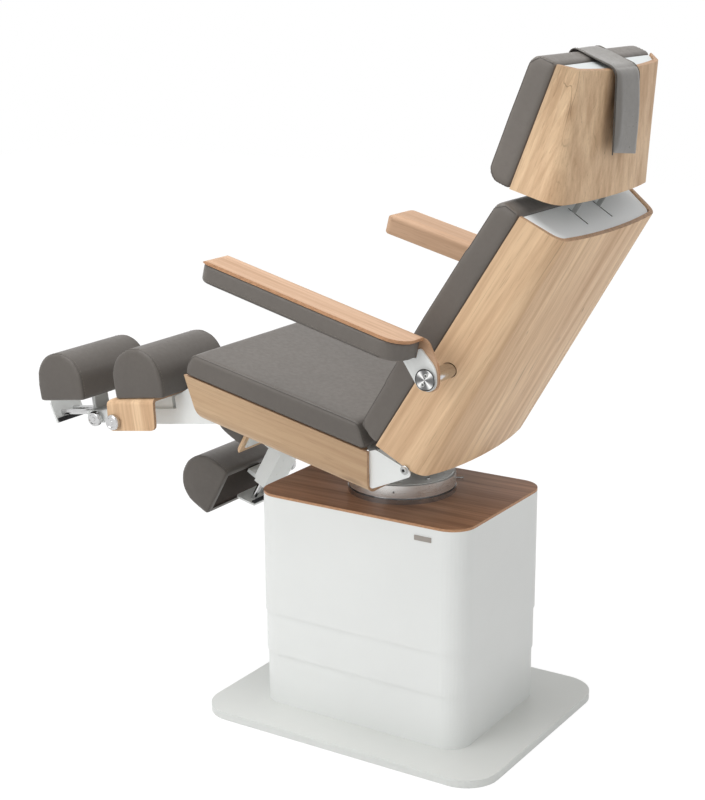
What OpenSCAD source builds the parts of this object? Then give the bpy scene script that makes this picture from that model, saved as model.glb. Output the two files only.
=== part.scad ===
// Podiatry chair: a lifting pedestal that carries a swivelling, tilting seat with a
// reclining back, two armrests, a headrest and two independent leg supports.
// Millimetres. +Z is up, the sitter faces -Y, and the origin lies on the floor at the
// centre of the base plate. Left means the sitter's left, which is +X.

/* [Base and pedestal] */
// Width of the base plate
base_w = 604; // [560:1:680]
// Length of the base plate
base_l = 748; // [700:1:820]
// Thickness of the base plate
base_t = 18; // [12:1:24]
// Corner radius of the base plate
base_r = 80; // [60:1:120]
// Width of the upper shroud
column_w = 396; // [380:1:420]
// Length of the upper shroud
column_l = 542; // [520:1:560]
// Corner radius of the upper shroud
column_r = 57; // [45:1:70]
// How far the pedestal stands forward of the base plate's centre
column_shift = 4; // [0:1:10]
// Height of the top of the pedestal above the floor
column_h = 532; // [520:1:545]
// Wall thickness of the shrouds
shroud_t = 1.5; // [1:0.1:1.6]
// Gap between two shrouds
shroud_gap = 1; // [0.8:0.1:1.2]
// Height of the upper shroud's lower edge
upper_skirt_z = 243; // [241:1:250]
// Height of the middle shroud's lower edge
middle_skirt_z = 143; // [140:1:150]
// Height of the middle shroud
middle_shroud_h = 266; // [258:1:267]
// Height of the lower shroud
lower_shroud_h = 272; // [262:1:274]
// Thickness of the wooden pedestal top
pedestal_top_t = 6; // [5:0.5:8]

/* [Lifting column] */
// Outer width of the lower lifting tube
lift_tube_w = 170; // [150:1:190]
// Outer length of the lower lifting tube
lift_tube_l = 210; // [180:1:240]
// Wall thickness of the lifting tubes
lift_tube_t = 5; // [4:0.5:7]
// Height of each lifting tube
lift_tube_h = 266; // [258:1:268]
// Thickness of the steel plate that the upper lifting tube is welded to
carrier_t = 8; // [6:1:12]
// Width of the lifting motor's housing
lift_motor_w = 70; // [55:1:78]
// Height of the lifting motor's housing
lift_motor_h = 190; // [150:1:220]

/* [Turntable] */
// Radius of the turntable ring
turntable_r = 123; // [118:1:128]
// Wall thickness of the turntable ring
turntable_wall = 15; // [10:1:18]
// Thickness of the fixed flange under the ring
flange_t = 11; // [9:1:12]
// Height of the dark bearing gap between flange and ring
bearing_t = 3; // [2:0.5:4]
// Height of the turntable ring
ring_h = 28; // [24:1:30]
// Height of the tilt axle above the floor
tilt_axle_z = 618; // [616:1:624]
// Distance of the tilt axle behind the turntable's centre
tilt_axle_y = 20; // [10:1:26]
// Radius of the tilt axle
tilt_axle_r = 10; // [8:0.5:12]
// Thickness of the tilt bracket's two ears
ear_t = 18; // [14:1:20]
// Distance from the middle to the outer face of each ear
ear_x = 92; // [84:1:94]

/* [Seat] */
// Half the width of seat and back
half_w = 262; // [258:1:266]
// Thickness of the bent plywood
ply_t = 9; // [7:0.5:10]
// How far the seat's front is tipped up
seat_tilt = 12.2; // [12.2]
// Length of the seat at the top of its shell
seat_l = 497; // [480:1:510]
// Depth of the seat shell
seat_shell_d = 92; // [88:1:96]
// Radius of the seat shell's lower edges
seat_edge_r = 30; // [22:1:36]
// Thickness of the seat and back cushions
cushion_t = 54; // [48:1:58]

/* [Back] */
// Lean of the back from upright
back_lean = 32.65; // [32.65]
// Length of the back's shell
back_l = 603; // [580:1:610]
// Depth of the back's shell at its lower end
back_low_d = 133; // [128:1:136]
// Depth of the back's shell at its upper end
back_top_d = 101.5; // [96:0.5:104]
// Half the width of the rear face at the lower end, before rounding
back_low_half = 243; // [240:1:248]
// Half the width of the rear face at the upper end, before rounding
back_top_half = 231; // [226:1:236]
// Radius of the rear corners at the lower end
back_low_r = 45; // [36:1:50]
// Radius of the rear corners at the upper end
back_top_r = 40; // [32:1:46]
// Radius of the recline pins
recline_pin_r = 7; // [6:0.5:8]

/* [Armrests] */
// Distance from the middle to the armrest's inner face
arm_x = 329; // [324:1:336]
// Width of the armrest
arm_w = 89.5; // [80:0.5:96]
// Thickness of the armrest's plywood
arm_ply_t = 7; // [6:0.5:8]
// Length of the armrest in front of its pivot
arm_l = 540; // [500:1:560]
// Height of the armrest's top over its pivot
arm_top = 79.6; // [76:0.1:84]
// Height of the armrest's inner wall
arm_wall_h = 51; // [46:1:56]
// Tip of the armrest up to the front
arm_tilt = 14.2; // [14.2]
// Radius of the armrest shaft
arm_shaft_r = 15.5; // [12:0.5:17]
// Radius of the polished cap on the armrest shaft
arm_cap_r = 21; // [19:0.5:23]

/* [Headrest] */
// Lean of the headrest from upright
head_lean = 21.6; // [21.6]
// Half the width of the headrest
head_half = 226; // [222:1:230]
// Length of the headrest's shell
head_l = 257.5; // [250:0.5:264]
// Depth of the headrest's shell at its lower end
head_low_d = 119.5; // [115:0.5:122]
// Depth of the headrest's shell at its upper end
head_top_d = 49; // [46:1:52]
// Half the width of the rear face at the lower end, before rounding
head_low_half = 229; // [222:1:230]
// Half the width of the rear face at the upper end, before rounding
head_top_half = 190; // [184:1:194]
// Radius of the rear corners at the lower end
head_low_r = 38; // [32:1:44]
// Radius of the rear corners at the upper end
head_top_r = 22; // [18:1:26]
// Distance from the middle to each headrest bar
bar_x = 59; // [56:1:62]
// Thickness of a headrest bar, across
bar_t = 5; // [4:0.5:6]
// Width of a headrest bar, front to rear
bar_w = 9; // [7:0.5:11]

/* [Leg supports] */
// Distance from the middle to the middle of each leg support
leg_x = 134; // [132:1:136]
// Lowering of the left leg support below level
left_drop = 8.5; // [8.5]
// Lowering of the right leg support below level
right_drop = 61; // [61]
// Width of the leg beam
beam_w = 100; // [90:1:104]
// Height of the leg beam
beam_h = 36.5; // [34:0.5:40]
// Wall thickness of the leg beam
beam_t = 2.5; // [2:0.5:3.5]
// Length of the leg beam in front of its axle
beam_l = 330; // [324:1:334]
// Depth of the leg beam's top below its axle
beam_drop = 69.5; // [68:0.5:74]
// Radius of the leg axle
leg_axle_r = 8; // [7:0.5:9]
// Length of each leg pad, across
pad_l = 245; // [230:1:248]
// Width of the calf pads
calf_w = 140; // [132:1:144]
// Width of the foot pads
foot_w = 135; // [130:1:140]
// Height of each calf pad
calf_h = 114; // [108:1:118]
// Height of each foot pad
foot_h = 113; // [106:1:118]
// Radius of the two rods in each leg beam
rod_r = 6.5; // [5.5:0.5:6.5]
// Length of the rods
rod_l = 270; // [262:1:274]
// Distance of the left foot plate in front of its inner box's end
left_plate_ahead = 111; // [101:1:113]
// Distance of the right foot plate in front of its inner box's end
right_plate_ahead = 65; // [63:1:70]
// Distance of the left foot pad's middle in front of its inner box's end
left_pad_ahead = 3; // [0:0.5:7]
// Distance of the right foot pad's middle in front of its inner box's end
right_pad_ahead = 51; // [50:1:54]
// Distance of the left inner box's end in front of the leg axle
left_box = 419; // [416:1:422]
// Distance of the right inner box's end in front of the leg axle
right_box = 342; // [341:1:345]
// Distance from the leg axle to the left calf pad's middle
left_calf = 180; // [178:1:182]
// Distance from the leg axle to the right calf pad's middle
right_calf = 165; // [163:1:167]

/* [Hidden] */
$fn = 96;

// Clearances: between sliding sections, of a pin in its bore, beside soft parts; and the overrun of a cut
slide_clear = 0.5;
pin_clear = 0.06;
soft_clear = 0.5;
cut_over = 5;
// Number of steps in the arc of a rounded corner; in the rear corners, rear faces and side walls of
// the shells; and up the shells
corner_steps = 10;
shell_steps = 8;
rear_steps = 6;
side_steps = 3;
loft_steps = 4;

// Heights in the pedestal
carrier_top_z = column_h - pedestal_top_t;
lower_top_z = base_t + lower_shroud_h;
tube_step = lift_tube_t + slide_clear;
middle_tube_z = middle_skirt_z - 6;
upper_tube_z = upper_skirt_z - 3;
flange_top_z = column_h + flange_t;
ring_z = flange_top_z + bearing_t + slide_clear;
ring_top_z = ring_z + ring_h;

// World places (y, z) of the assemblies' own origins
seat_place = [70.2, 694.6];
back_place = [92.1, 713.3];
recline_place = [157, 667];
arm_place = [260, 895.5];
head_place = [375.5, 1267];
leg_place = [-380.3, 778.2];

// Badge on the pedestal's left side, left bare
badge_size = [42, 11, 1.5];
badge_place = [170.5, 501];

// Seat frame and cheeks, in the seat's own frame
rail_w = 24;
rail_h = 40;
rail_x = 222;
seat_board_t = 8;
cheek_t = 6;
cheek_r = 16;
end_panel_t = 5;
end_recess = 3;
leg_notch_half = 192;
tilt_notch_half = 150;
leg_notch_y = -318;
tilt_notch_y = -110;
lug_t = 12;
washer_gap = 1;

// Back frame, in the back's own frame
back_tube = 25;
back_tube_x = 160;
back_tube_y = 5;
back_lug_x = 204;
back_lug_t = 12;
bar_y = 24;
sleeve_wall = 4;
bar_low_z = 320;
bar_top_z = 668;
sleeve_low_z = 440;
head_pin_r = 6;
end_plate_t = 4;
end_plate_drop = 4;
back_low_crown = 21;
back_top_crown = 12;

// Armrest details
arm_wall_edge_r = 14;
arm_pad_h = 39;
arm_plate_t = 4.7;
arm_eye_r = 27;
arm_plate_r = 25;
arm_cap_t = 6;

// Headrest details
head_ply_t = 8;
head_cushion_t = 55;
head_low_rise_share = 0.1157;
head_low_crown = 16;
head_top_crown = 15;
neck_roll_r = 34;
neck_roll_l = 180;
roll_z = 77;
strap_w = 112;
strap_x = 22;
strap_t = 3;
strap_drop_share = 0.585;
strap_lean = 22.5;

// Leg support details: distances in front of the axle, and heights above it
left_reach = left_box + left_plate_ahead;
right_reach = right_box + right_plate_ahead;
left_foot = left_box + left_pad_ahead;
right_foot = right_box + right_pad_ahead;
beam_low_z = -beam_drop - beam_h;
rod_gap = 22;
rod_drop = 11.5;
rod_z = -beam_drop - rod_drop;
cavity_from = 45;
eye_r = 12.5;
ear_plate_t = 6;
pad_base_z = -28;
foot_base_z = -31.5;
saddle_t = 8;
saddle_l = 141;
saddle_shear = 8;
left_saddle = 135;
right_saddle = 115;
saddle_low_z = -104;
carrier_plate_t = 4;
plate_t = 5;
plate_half = 50;
plate_low = -24;
plate_top = 36;
plate_tip = 16;
strip_t = 4;
strip_w = 11;
strip_inset = 3;
box_l = 180;
post_t = 10;
post_half = 24;
bearer_t = 6;
recess_h = 10;
recess_wall = 14;
knob_r = 18.5;
knob_t = 16;
knob_neck_r = 5;
knob_drop = 9;
slide_knob_back = 34;
rod_knob_ahead = 124;
hole_r = 2;
hole_from = 22;
hole_step = 23;
hole_rows = [-15.5, 39];

// Rounded outline: each point is [x, y, radius], and a corner becomes an arc tangent to both sides
function unit(v) = v / norm(v);
function corner(p0, p1, p2, r) =
    let (a = unit(p0 - p1), b = unit(p2 - p1), half = acos(max(-1, min(1, a * b))) / 2)
    let (c = p1 + unit(a + b) * r / sin(half), s = p1 + a * r / tan(half), e = p1 + b * r / tan(half))
    let (a0 = atan2(s.y - c.y, s.x - c.x), a1 = atan2(e.y - c.y, e.x - c.x))
    let (turn = a1 - a0, sweep = turn > 180 ? turn - 360 : turn < -180 ? turn + 360 : turn)
    [for (i = [0 : corner_steps]) let (a = a0 + sweep * i / corner_steps) c + r * [cos(a), sin(a)]];
function xy(p) = [p.x, p.y];
function rounded(pts) = [
    for (i = [0 : len(pts) - 1])
        let (n = len(pts), p = pts[i], before = pts[(i + n - 1) % n], after = pts[(i + 1) % n])
        each (p.z == 0 ? [xy(p)] : corner(xy(before), xy(p), xy(after), p.z))
];

// Plate with upright rounded corners, centred on x and y, standing on z = 0
module rounded_plate(w, l, t, r) {
    linear_extrude(t)
        polygon(rounded([[-w / 2, -l / 2, r], [w / 2, -l / 2, r], [w / 2, l / 2, r], [-w / 2, l / 2, r]]));
}

// Upright tube of rounded rectangular section
module rounded_tube(w, l, h, r, t) {
    difference() {
        rounded_plate(w, l, h, r);
        translate([0, 0, -cut_over]) rounded_plate(w - 2 * t, l - 2 * t, h + 2 * cut_over, max(r - t, 1));
    }
}

// Outline in the plane of Y and Z, drawn as (y, z), made thick from x to x + w
module side_plate(x, w) {
    translate([x, 0, 0]) rotate([90, 0, 90]) linear_extrude(w) children();
}

module round_bar_x(x0, x1, r) {
    translate([x0, 0, 0]) rotate([0, 90, 0]) cylinder(h = x1 - x0, r = r);
}

module both_sides() {
    children();
    mirror([1, 0, 0]) children();
}

module at_column(z) {
    translate([0, -column_shift, z]) children();
}

module at_place(place, tip) {
    translate([0, place.x, place.y]) rotate([-tip, 0, 0]) children();
}

module in_seat() {
    at_place(seat_place, seat_tilt) children();
}

module in_back() {
    at_place(back_place, back_lean) children();
}

module in_head() {
    at_place(head_place, head_lean) children();
}

// A leg support's frame: +Y runs back along the beam, +Z is square to it
module in_leg(side, drop) {
    translate([side * leg_x, leg_place.x, leg_place.y]) rotate([drop, 0, 0]) scale_side(side) children();
}

module scale_side(side) {
    if (side > 0) children();
    else mirror([1, 0, 0]) children();
}

// Place of a world point in a tipped frame, as (y, z)
function into(place, tip, p) =
    let (d = p - place)
    [d.x * cos(tip) - d.y * sin(tip), d.x * sin(tip) + d.y * cos(tip)];

recline_in_back = into(back_place, back_lean, recline_place);
arm_in_back = into(back_place, back_lean, arm_place);
leg_in_seat = into(seat_place, seat_tilt, leg_place);
tilt_in_seat = into(seat_place, seat_tilt, [tilt_axle_y, tilt_axle_z]);
head_pin_in_back = [bar_y, bar_top_z];
head_pin_world = back_place + [
    bar_y * cos(back_lean) + bar_top_z * sin(back_lean),
    -bar_y * sin(back_lean) + bar_top_z * cos(back_lean)
];
head_pin_in_head = into(head_place, head_lean, head_pin_world);

// Pedestal

module base_plate() {
    color("gainsboro") rounded_plate(base_w, base_l, base_t, base_r);
}

// inset is the number of stages inside the upper shroud
module shroud(inset, h) {
    step = inset * (shroud_t + shroud_gap);
    rounded_tube(column_w - 2 * step, column_l - 2 * step, h, column_r - step, shroud_t);
}

module lower_shroud() {
    color("white") at_column(base_t) shroud(2, lower_shroud_h);
}

module middle_shroud() {
    color("white") at_column(middle_skirt_z) shroud(1, middle_shroud_h);
}

module upper_shroud() {
    color("white") at_column(upper_skirt_z) shroud(0, carrier_top_z - upper_skirt_z);
}

module lift_tube(inset, h) {
    step = 2 * inset * tube_step;
    rounded_tube(lift_tube_w - step, lift_tube_l - step, h, 2 * lift_tube_t, lift_tube_t);
}

module lift_tube_lower() {
    color("silver") at_column(base_t) lift_tube(0, lift_tube_h);
}

module lift_tube_middle() {
    color("silver") at_column(middle_tube_z) lift_tube(1, lift_tube_h);
}

module lift_motor() {
    x = (lift_tube_w + lift_motor_w) / 2 + 4 * slide_clear;
    color("dimgray") translate([-x, -column_shift, base_t]) {
        rounded_plate(lift_motor_w, lift_motor_w, lift_motor_h / 3, lift_motor_w / 8);
        cylinder(h = lift_motor_h, r = lift_motor_w / 2 - slide_clear);
    }
}

// Steel plate under the wooden top, tied to the upper shroud, with the upper lifting tube welded under it
module pedestal_frame() {
    inner = 2 * shroud_t + 2 * slide_clear;
    color("silver") {
        at_column(carrier_top_z - carrier_t)
            rounded_plate(column_w - inner, column_l - inner, carrier_t, column_r - inner / 2);
        at_column(upper_tube_z) lift_tube(2, carrier_top_z - carrier_t - upper_tube_z);
    }
}

module pedestal_top() {
    color("sienna") at_column(carrier_top_z) rounded_plate(column_w, column_l, pedestal_top_t, column_r);
}

module badge_plate() {
    color("tan") translate([column_w / 2, badge_place.x - badge_size.x / 2, badge_place.y - badge_size.y / 2])
        cube([badge_size.z, badge_size.x, badge_size.y]);
}

// Turntable

module turntable_base() {
    color("dimgray") translate([0, 0, column_h]) {
        cylinder(h = flange_t, r = turntable_r + 1);
        cylinder(h = flange_t + bearing_t, r = turntable_r - turntable_wall / 2);
    }
}

module turntable_ring() {
    color("silver") translate([0, 0, ring_z]) difference() {
        cylinder(h = ring_h, r = turntable_r);
        translate([0, 0, bearing_t * 2]) cylinder(h = ring_h, r = turntable_r - turntable_wall);
    }
}

// Casting in the ring: a dished floor, a rim pad for each ear, and two ears with the axle's bores
module tilt_bracket() {
    floor_z = ring_z + bearing_t * 2;
    floor_r = turntable_r - turntable_wall - slide_clear;
    ear_half = tilt_axle_r * 2.4;
    rise = tilt_axle_z - floor_z;
    color("white") difference() {
        union() {
            translate([0, 0, floor_z]) cylinder(h = flange_t, r = floor_r);
            translate([0, 0, floor_z]) difference() {
                cylinder(h = ring_h - bearing_t, r = floor_r);
                translate([0, 0, -cut_over]) cylinder(h = ring_h + 2 * cut_over, r = floor_r - ear_t);
            }
            both_sides() side_plate(ear_x - ear_t, ear_t) polygon(rounded([
                [tilt_axle_y - ear_half * 1.6, floor_z, 0],
                [tilt_axle_y + ear_half * 1.2, floor_z, 0],
                [tilt_axle_y + ear_half, floor_z + rise + ear_half, ear_half * 0.9],
                [tilt_axle_y - ear_half, floor_z + rise + ear_half, ear_half * 0.9]
            ]));
        }
        translate([0, tilt_axle_y, tilt_axle_z]) round_bar_x(-half_w, half_w, tilt_axle_r + pin_clear);
    }
}

module tilt_axle() {
    reach = ear_x + washer_gap + lug_t + 2 * washer_gap;
    color("silver") translate([0, tilt_axle_y, tilt_axle_z]) {
        round_bar_x(-reach, reach, tilt_axle_r);
        both_sides() round_bar_x(reach, reach + lug_t / 2, tilt_axle_r * 1.5);
    }
}

// Spring plunger that locks the swivel, on the ring's rear right
module swivel_lock_pin() {
    color("silver") translate([0, 0, ring_z + ring_h / 2]) rotate([0, 0, 115]) {
        round_bar_x(turntable_r + slide_clear, turntable_r + lug_t, tilt_axle_r / 4);
        round_bar_x(turntable_r + lug_t, turntable_r + lug_t * 1.4, tilt_axle_r / 3);
    }
}

// Seat

// Side outline of the seat's shell; the rear end stands upright when the seat has its own tilt
module seat_side(inset) {
    slope = tan(seat_tilt);
    polygon(rounded([
        [-seat_l + inset, 0, 0],
        [-seat_l * 0.884 + inset, -seat_shell_d + inset, seat_edge_r],
        [(seat_shell_d - inset) * slope, -seat_shell_d + inset, 0],
        [0, 0, 0]
    ]));
}

// Cross-section of the bent shell as a filled outline, drawn as (x, z)
module seat_section(inset, top) {
    half = half_w - inset;
    polygon(rounded([
        [-half, top, 0],
        [-half, -seat_shell_d + inset, seat_edge_r - inset],
        [half, -seat_shell_d + inset, seat_edge_r - inset],
        [half, top, 0]
    ]));
}

module along_seat() {
    translate([0, seat_shell_d, 0]) rotate([90, 0, 0]) linear_extrude(seat_l + 2 * seat_shell_d) children();
}

module seat_shell() {
    color("burlywood") in_seat() difference() {
        intersection() {
            along_seat() seat_section(0, 0);
            side_plate(-half_w, 2 * half_w) seat_side(0);
        }
        along_seat() seat_section(ply_t, cut_over);
        translate([-leg_notch_half, -seat_l - cut_over, -2 * seat_shell_d])
            cube([2 * leg_notch_half, seat_l + leg_notch_y + cut_over, 2 * seat_shell_d + cut_over]);
        translate([-tilt_notch_half, tilt_notch_y, -2 * seat_shell_d])
            cube([2 * tilt_notch_half, 2 * seat_shell_d - tilt_notch_y, 2 * seat_shell_d + cut_over]);
    }
}

// White end panel inside the shell's rear end, with the two cheeks that hold the recline pins
module seat_end_frame() {
    panel_y = seat_place.x - end_recess - end_panel_t;
    low_z = seat_place.y - seat_shell_d * 0.92;
    cheek_x = half_w - ply_t - soft_clear - cheek_t;
    color("white") {
        intersection() {
            in_seat() along_seat() seat_section(ply_t + soft_clear, -seat_board_t - soft_clear);
            translate([-half_w, panel_y, seat_place.y - 2 * seat_shell_d])
                cube([2 * half_w, end_panel_t, 2 * seat_shell_d]);
            translate([-half_w, panel_y, tilt_axle_z + 2.4 * tilt_axle_r])
                cube([2 * half_w, end_panel_t, 2 * seat_shell_d]);
        }
        both_sides() difference() {
            side_plate(cheek_x + cheek_t * 0.45, cheek_t * 0.55) polygon(rounded([
                [panel_y, seat_place.y - 4 * seat_board_t, 0],
                [panel_y, seat_place.y - seat_shell_d / 2, 0],
                [seat_place.x + soft_clear, seat_place.y - seat_shell_d / 2, 0],
                [seat_place.x + soft_clear, low_z, cheek_t],
                [recline_place.x + cheek_r, recline_place.y - cheek_r * 0.75, cheek_r * 0.5],
                [recline_place.x + cheek_r * 0.6, recline_place.y + cheek_r * 0.05, cheek_r * 0.3],
                [back_place.x - cheek_t, back_place.y - cheek_t * 2.2, cheek_t * 2],
                [seat_place.x, seat_place.y, 0]
            ]));
            translate([0, recline_place.x, recline_place.y]) round_bar_x(0, half_w, recline_pin_r);
        }
    }
}

// Pins with a round head outside each cheek, and a collar between cheek and back lug
module recline_pins() {
    cheek_x = half_w - ply_t - soft_clear - cheek_t;
    inner_x = back_lug_x - washer_gap;
    color("silver") translate([0, recline_place.x, recline_place.y]) both_sides() {
        round_bar_x(inner_x, cheek_x + cheek_t, recline_pin_r);
        round_bar_x(back_lug_x + back_lug_t + washer_gap, cheek_x, recline_pin_r * 1.1);
        round_bar_x(inner_x - cheek_t, inner_x, recline_pin_r * 1.1);
    }
}

// Welded frame under the cushion: board, side rails, cross rail, front tongue and the lugs of both axles
module seat_frame() {
    lug_x = ear_x + washer_gap;
    rail_low = -seat_board_t - rail_h;
    lug_r = tilt_axle_r * 2;
    board_l = seat_l * 0.67;
    tongue_t = lug_t * 1.3;
    front = leg_in_seat.x - 1.6 * eye_r;
    color("silver") in_seat() difference() {
        union() {
            translate([-half_w + ply_t + soft_clear, -board_l, -seat_board_t])
                cube([2 * (half_w - ply_t - soft_clear), board_l - 2 * rail_w, seat_board_t]);
            both_sides() translate([rail_x - rail_w / 2, front, rail_low])
                cube([rail_w, -front - 2 * rail_w, rail_h + seat_board_t]);
            both_sides() translate([rail_x, front, -2 * seat_board_t])
                cube([half_w - ply_t - soft_clear - rail_x, -front - 2 * rail_w, seat_board_t]);
            translate([-rail_x, -seat_l * 0.2, rail_low]) cube([2 * rail_x, rail_w, rail_h]);
            translate([-tongue_t / 2, front, -4 * seat_board_t])
                cube([tongue_t, -front - board_l + rail_w, 4 * seat_board_t]);
            both_sides() side_plate(lug_x, lug_t) polygon(rounded([
                [-seat_l * 0.2, -seat_board_t, 0],
                [-seat_l * 0.2, rail_low, 0],
                [tilt_in_seat.x - lug_r, tilt_in_seat.y - lug_r, lug_r * 0.95],
                [tilt_in_seat.x + lug_r, tilt_in_seat.y - lug_r, lug_r * 0.95],
                [tilt_in_seat.x + lug_r, -seat_board_t, 0]
            ]));
        }
        translate([0, tilt_in_seat.x, tilt_in_seat.y]) round_bar_x(-half_w, half_w, tilt_axle_r + pin_clear);
        translate([0, leg_in_seat.x, leg_in_seat.y]) round_bar_x(-half_w, half_w, leg_axle_r);
    }
}

module leg_axle() {
    reach = rail_x + rail_w / 2;
    color("silver") translate([0, leg_place.x, leg_place.y]) round_bar_x(-reach, reach, leg_axle_r);
}

// Geared motor of the seat's tilt, hung under the seat's board
module tilt_drive() {
    body_r = rail_h / 2;
    low = -seat_board_t - rail_h;
    color("dimgray") in_seat() {
        translate([-lug_t * 3, -seat_l * 0.2 - rail_w * 2.5, low]) cube([lug_t * 6, rail_w * 2.5, rail_h]);
        translate([0, -seat_l * 0.2 - rail_w * 1.2, low + body_r])
            round_bar_x(-rail_w * 4, -lug_t * 3, body_r);
    }
}

module seat_cushion() {
    top = cushion_t - soft_clear;
    color("dimgray") in_seat() side_plate(-half_w, 2 * half_w) polygon(rounded([
        [-seat_l, soft_clear, cushion_t / 9],
        [-seat_l * 0.978, top, cushion_t / 3],
        [-cushion_t * 0.7, top, cushion_t / 6],
        [-cushion_t * 0.06, soft_clear, cushion_t / 18]
    ]));
}

// Shells of back and headrest

// Half section from the front edge over a round rear corner to the middle of the crowned rear face,
// as (x, y): a is the half width in front, b at the rear corner, d the depth and c the crown
function half_section(a, b, d, r, c) =
    let (p0 = [a, 0], p1 = [b, d - c], u = unit(p0 - p1), v = unit([-b, 2 * c]), half = acos(u * v) / 2)
    let (m = p1 + unit(u + v) * r / sin(half), s = p1 + u * r / tan(half), e = p1 + v * r / tan(half))
    let (a0 = atan2(s.y - m.y, s.x - m.x), a1 = atan2(e.y - m.y, e.x - m.x), q = e + v * (d - e.y) / v.y)
    concat(
        [for (i = [0 : side_steps - 1]) p0 + (s - p0) * i / side_steps],
        [for (i = [0 : shell_steps]) let (t = a0 + (a1 - a0) * i / shell_steps) m + r * [cos(t), sin(t)]],
        [for (i = [1 : rear_steps]) let (t = i / rear_steps)
            e * (1 - t) * (1 - t) + q * 2 * t * (1 - t) + [0, d] * t * t]
    );
function mirrored(pts) = concat(pts, [for (i = [len(pts) - 2 : -1 : 0]) [-pts[i].x, pts[i].y]]);
function section(a, b, d, r, c, inset) = mirrored(half_section(a - inset, b - inset, d - inset, r - inset, c));
function lift(pts, z, rise_share) = [for (p = pts) [p.x, p.y, z + p.y * rise_share]];

// Wall between an outer and an inner loft; each is a list of rings, and a ring is a list of 3-D points
// from one front edge to the other
module loft_wall(outer, inner) {
    n = len(outer[0]);
    k = len(outer);
    points = concat([for (ring = outer) each ring], [for (ring = inner) each ring]);
    il = k * n;
    ot = (k - 1) * n;
    it = il + ot;
    polyhedron(points, concat(
        [for (j = [0 : k - 2], i = [0 : n - 2]) let (o = j * n + i)
            each [[o, o + n, o + n + 1], [o, o + n + 1, o + 1]]],
        [for (j = [0 : k - 2], i = [0 : n - 2]) let (o = il + j * n + i)
            each [[o, o + n + 1, o + n], [o, o + 1, o + n + 1]]],
        [for (i = [0 : n - 2]) each
            [[ot + i, it + i, it + i + 1], [ot + i, it + i + 1, ot + i + 1]]],
        [for (i = [0 : n - 2]) each [[i, il + i + 1, il + i], [i, i + 1, il + i + 1]]],
        [for (j = [0 : k - 2]) let (o = j * n, p = il + j * n)
            each [[o, p, p + n], [o, p + n, o + n]]],
        [for (j = [0 : k - 2]) let (o = j * n + n - 1, p = il + o)
            each [[o, p + n, p], [o, o + n, p + n]]]
    ));
}

// A solid loft between two sections at heights z0 and z1, cut from a longer one by its share of the length
module loft_plate(low, top) {
    n = len(low);
    polyhedron(concat(low, top), concat(
        [for (i = [0 : n - 1]) let (j = (i + 1) % n) each [[i, n + i, n + j], [i, n + j, j]]],
        [[for (i = [0 : n - 1]) i], [for (i = [n - 1 : -1 : 0]) n + i]]
    ));
}

function mix(a, b, t) = a + (b - a) * t;
function back_section(t, inset) = section(
    half_w, mix(back_low_half, back_top_half, t), mix(back_low_d, back_top_d, t),
    mix(back_low_r, back_top_r, t), mix(back_low_crown, back_top_crown, t), inset
);
function head_section(t, inset) = section(
    head_half, mix(head_low_half, head_top_half, t), mix(head_low_d, head_top_d, t),
    mix(head_low_r, head_top_r, t), mix(head_low_crown, head_top_crown, t), inset
);
function back_ring(z, inset) = lift(back_section(z / back_l, inset), z, 0);
function head_ring(t, inset) = lift(head_section(t, inset), head_l * t, head_low_rise_share * (1 - t));

module back_shell() {
    color("burlywood") in_back() difference() {
        loft_wall(
            [for (i = [0 : loft_steps]) back_ring(back_l * i / loft_steps, 0)],
            [for (i = [0 : loft_steps]) back_ring(back_l * i / loft_steps, ply_t)]
        );
        translate([0, arm_in_back.x, arm_in_back.y]) both_sides()
            round_bar_x(back_top_half, half_w + cut_over, arm_shaft_r + 2 * slide_clear);
        translate([0, recline_in_back.x, recline_in_back.y])
            round_bar_x(-half_w, half_w, recline_pin_r * 1.1 + slide_clear);
    }
}

// Painted plates that close the shell's ends; the upper one has the slits of the headrest bars
module back_end_plates() {
    inset = ply_t + 3 * slide_clear;
    low = end_plate_drop;
    top = back_l - end_plate_drop - end_plate_t;
    slit_l = bar_w * 6;
    color("gainsboro") in_back() {
        difference() {
            loft_plate(back_ring(low, inset), back_ring(low + end_plate_t, inset));
            both_sides()
                translate([back_lug_x - 2 * washer_gap, 0, -cut_over])
                    cube([back_lug_t + 4 * washer_gap, recline_in_back.x + 3 * recline_pin_r, back_tube]);
        }
        difference() {
            loft_plate(back_ring(top, inset), back_ring(top + end_plate_t, inset));
            both_sides() translate([bar_x - bar_t / 2 - slide_clear, bar_y - bar_w * 1.6, top - cut_over])
                cube([bar_t + 2 * slide_clear, slit_l, end_plate_t + 2 * cut_over]);
        }
    }
}

module back_cushion() {
    color("dimgray") in_back() side_plate(-half_w, 2 * half_w) polygon(rounded([
        [-soft_clear, soft_clear, cushion_t / 18],
        [-soft_clear, back_l, cushion_t / 9],
        [-cushion_t, back_l, cushion_t / 3],
        [-cushion_t * 1.09, back_l / 2, back_l],
        [-cushion_t, cushion_t * 0.24, cushion_t / 5]
    ]));
}

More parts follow.
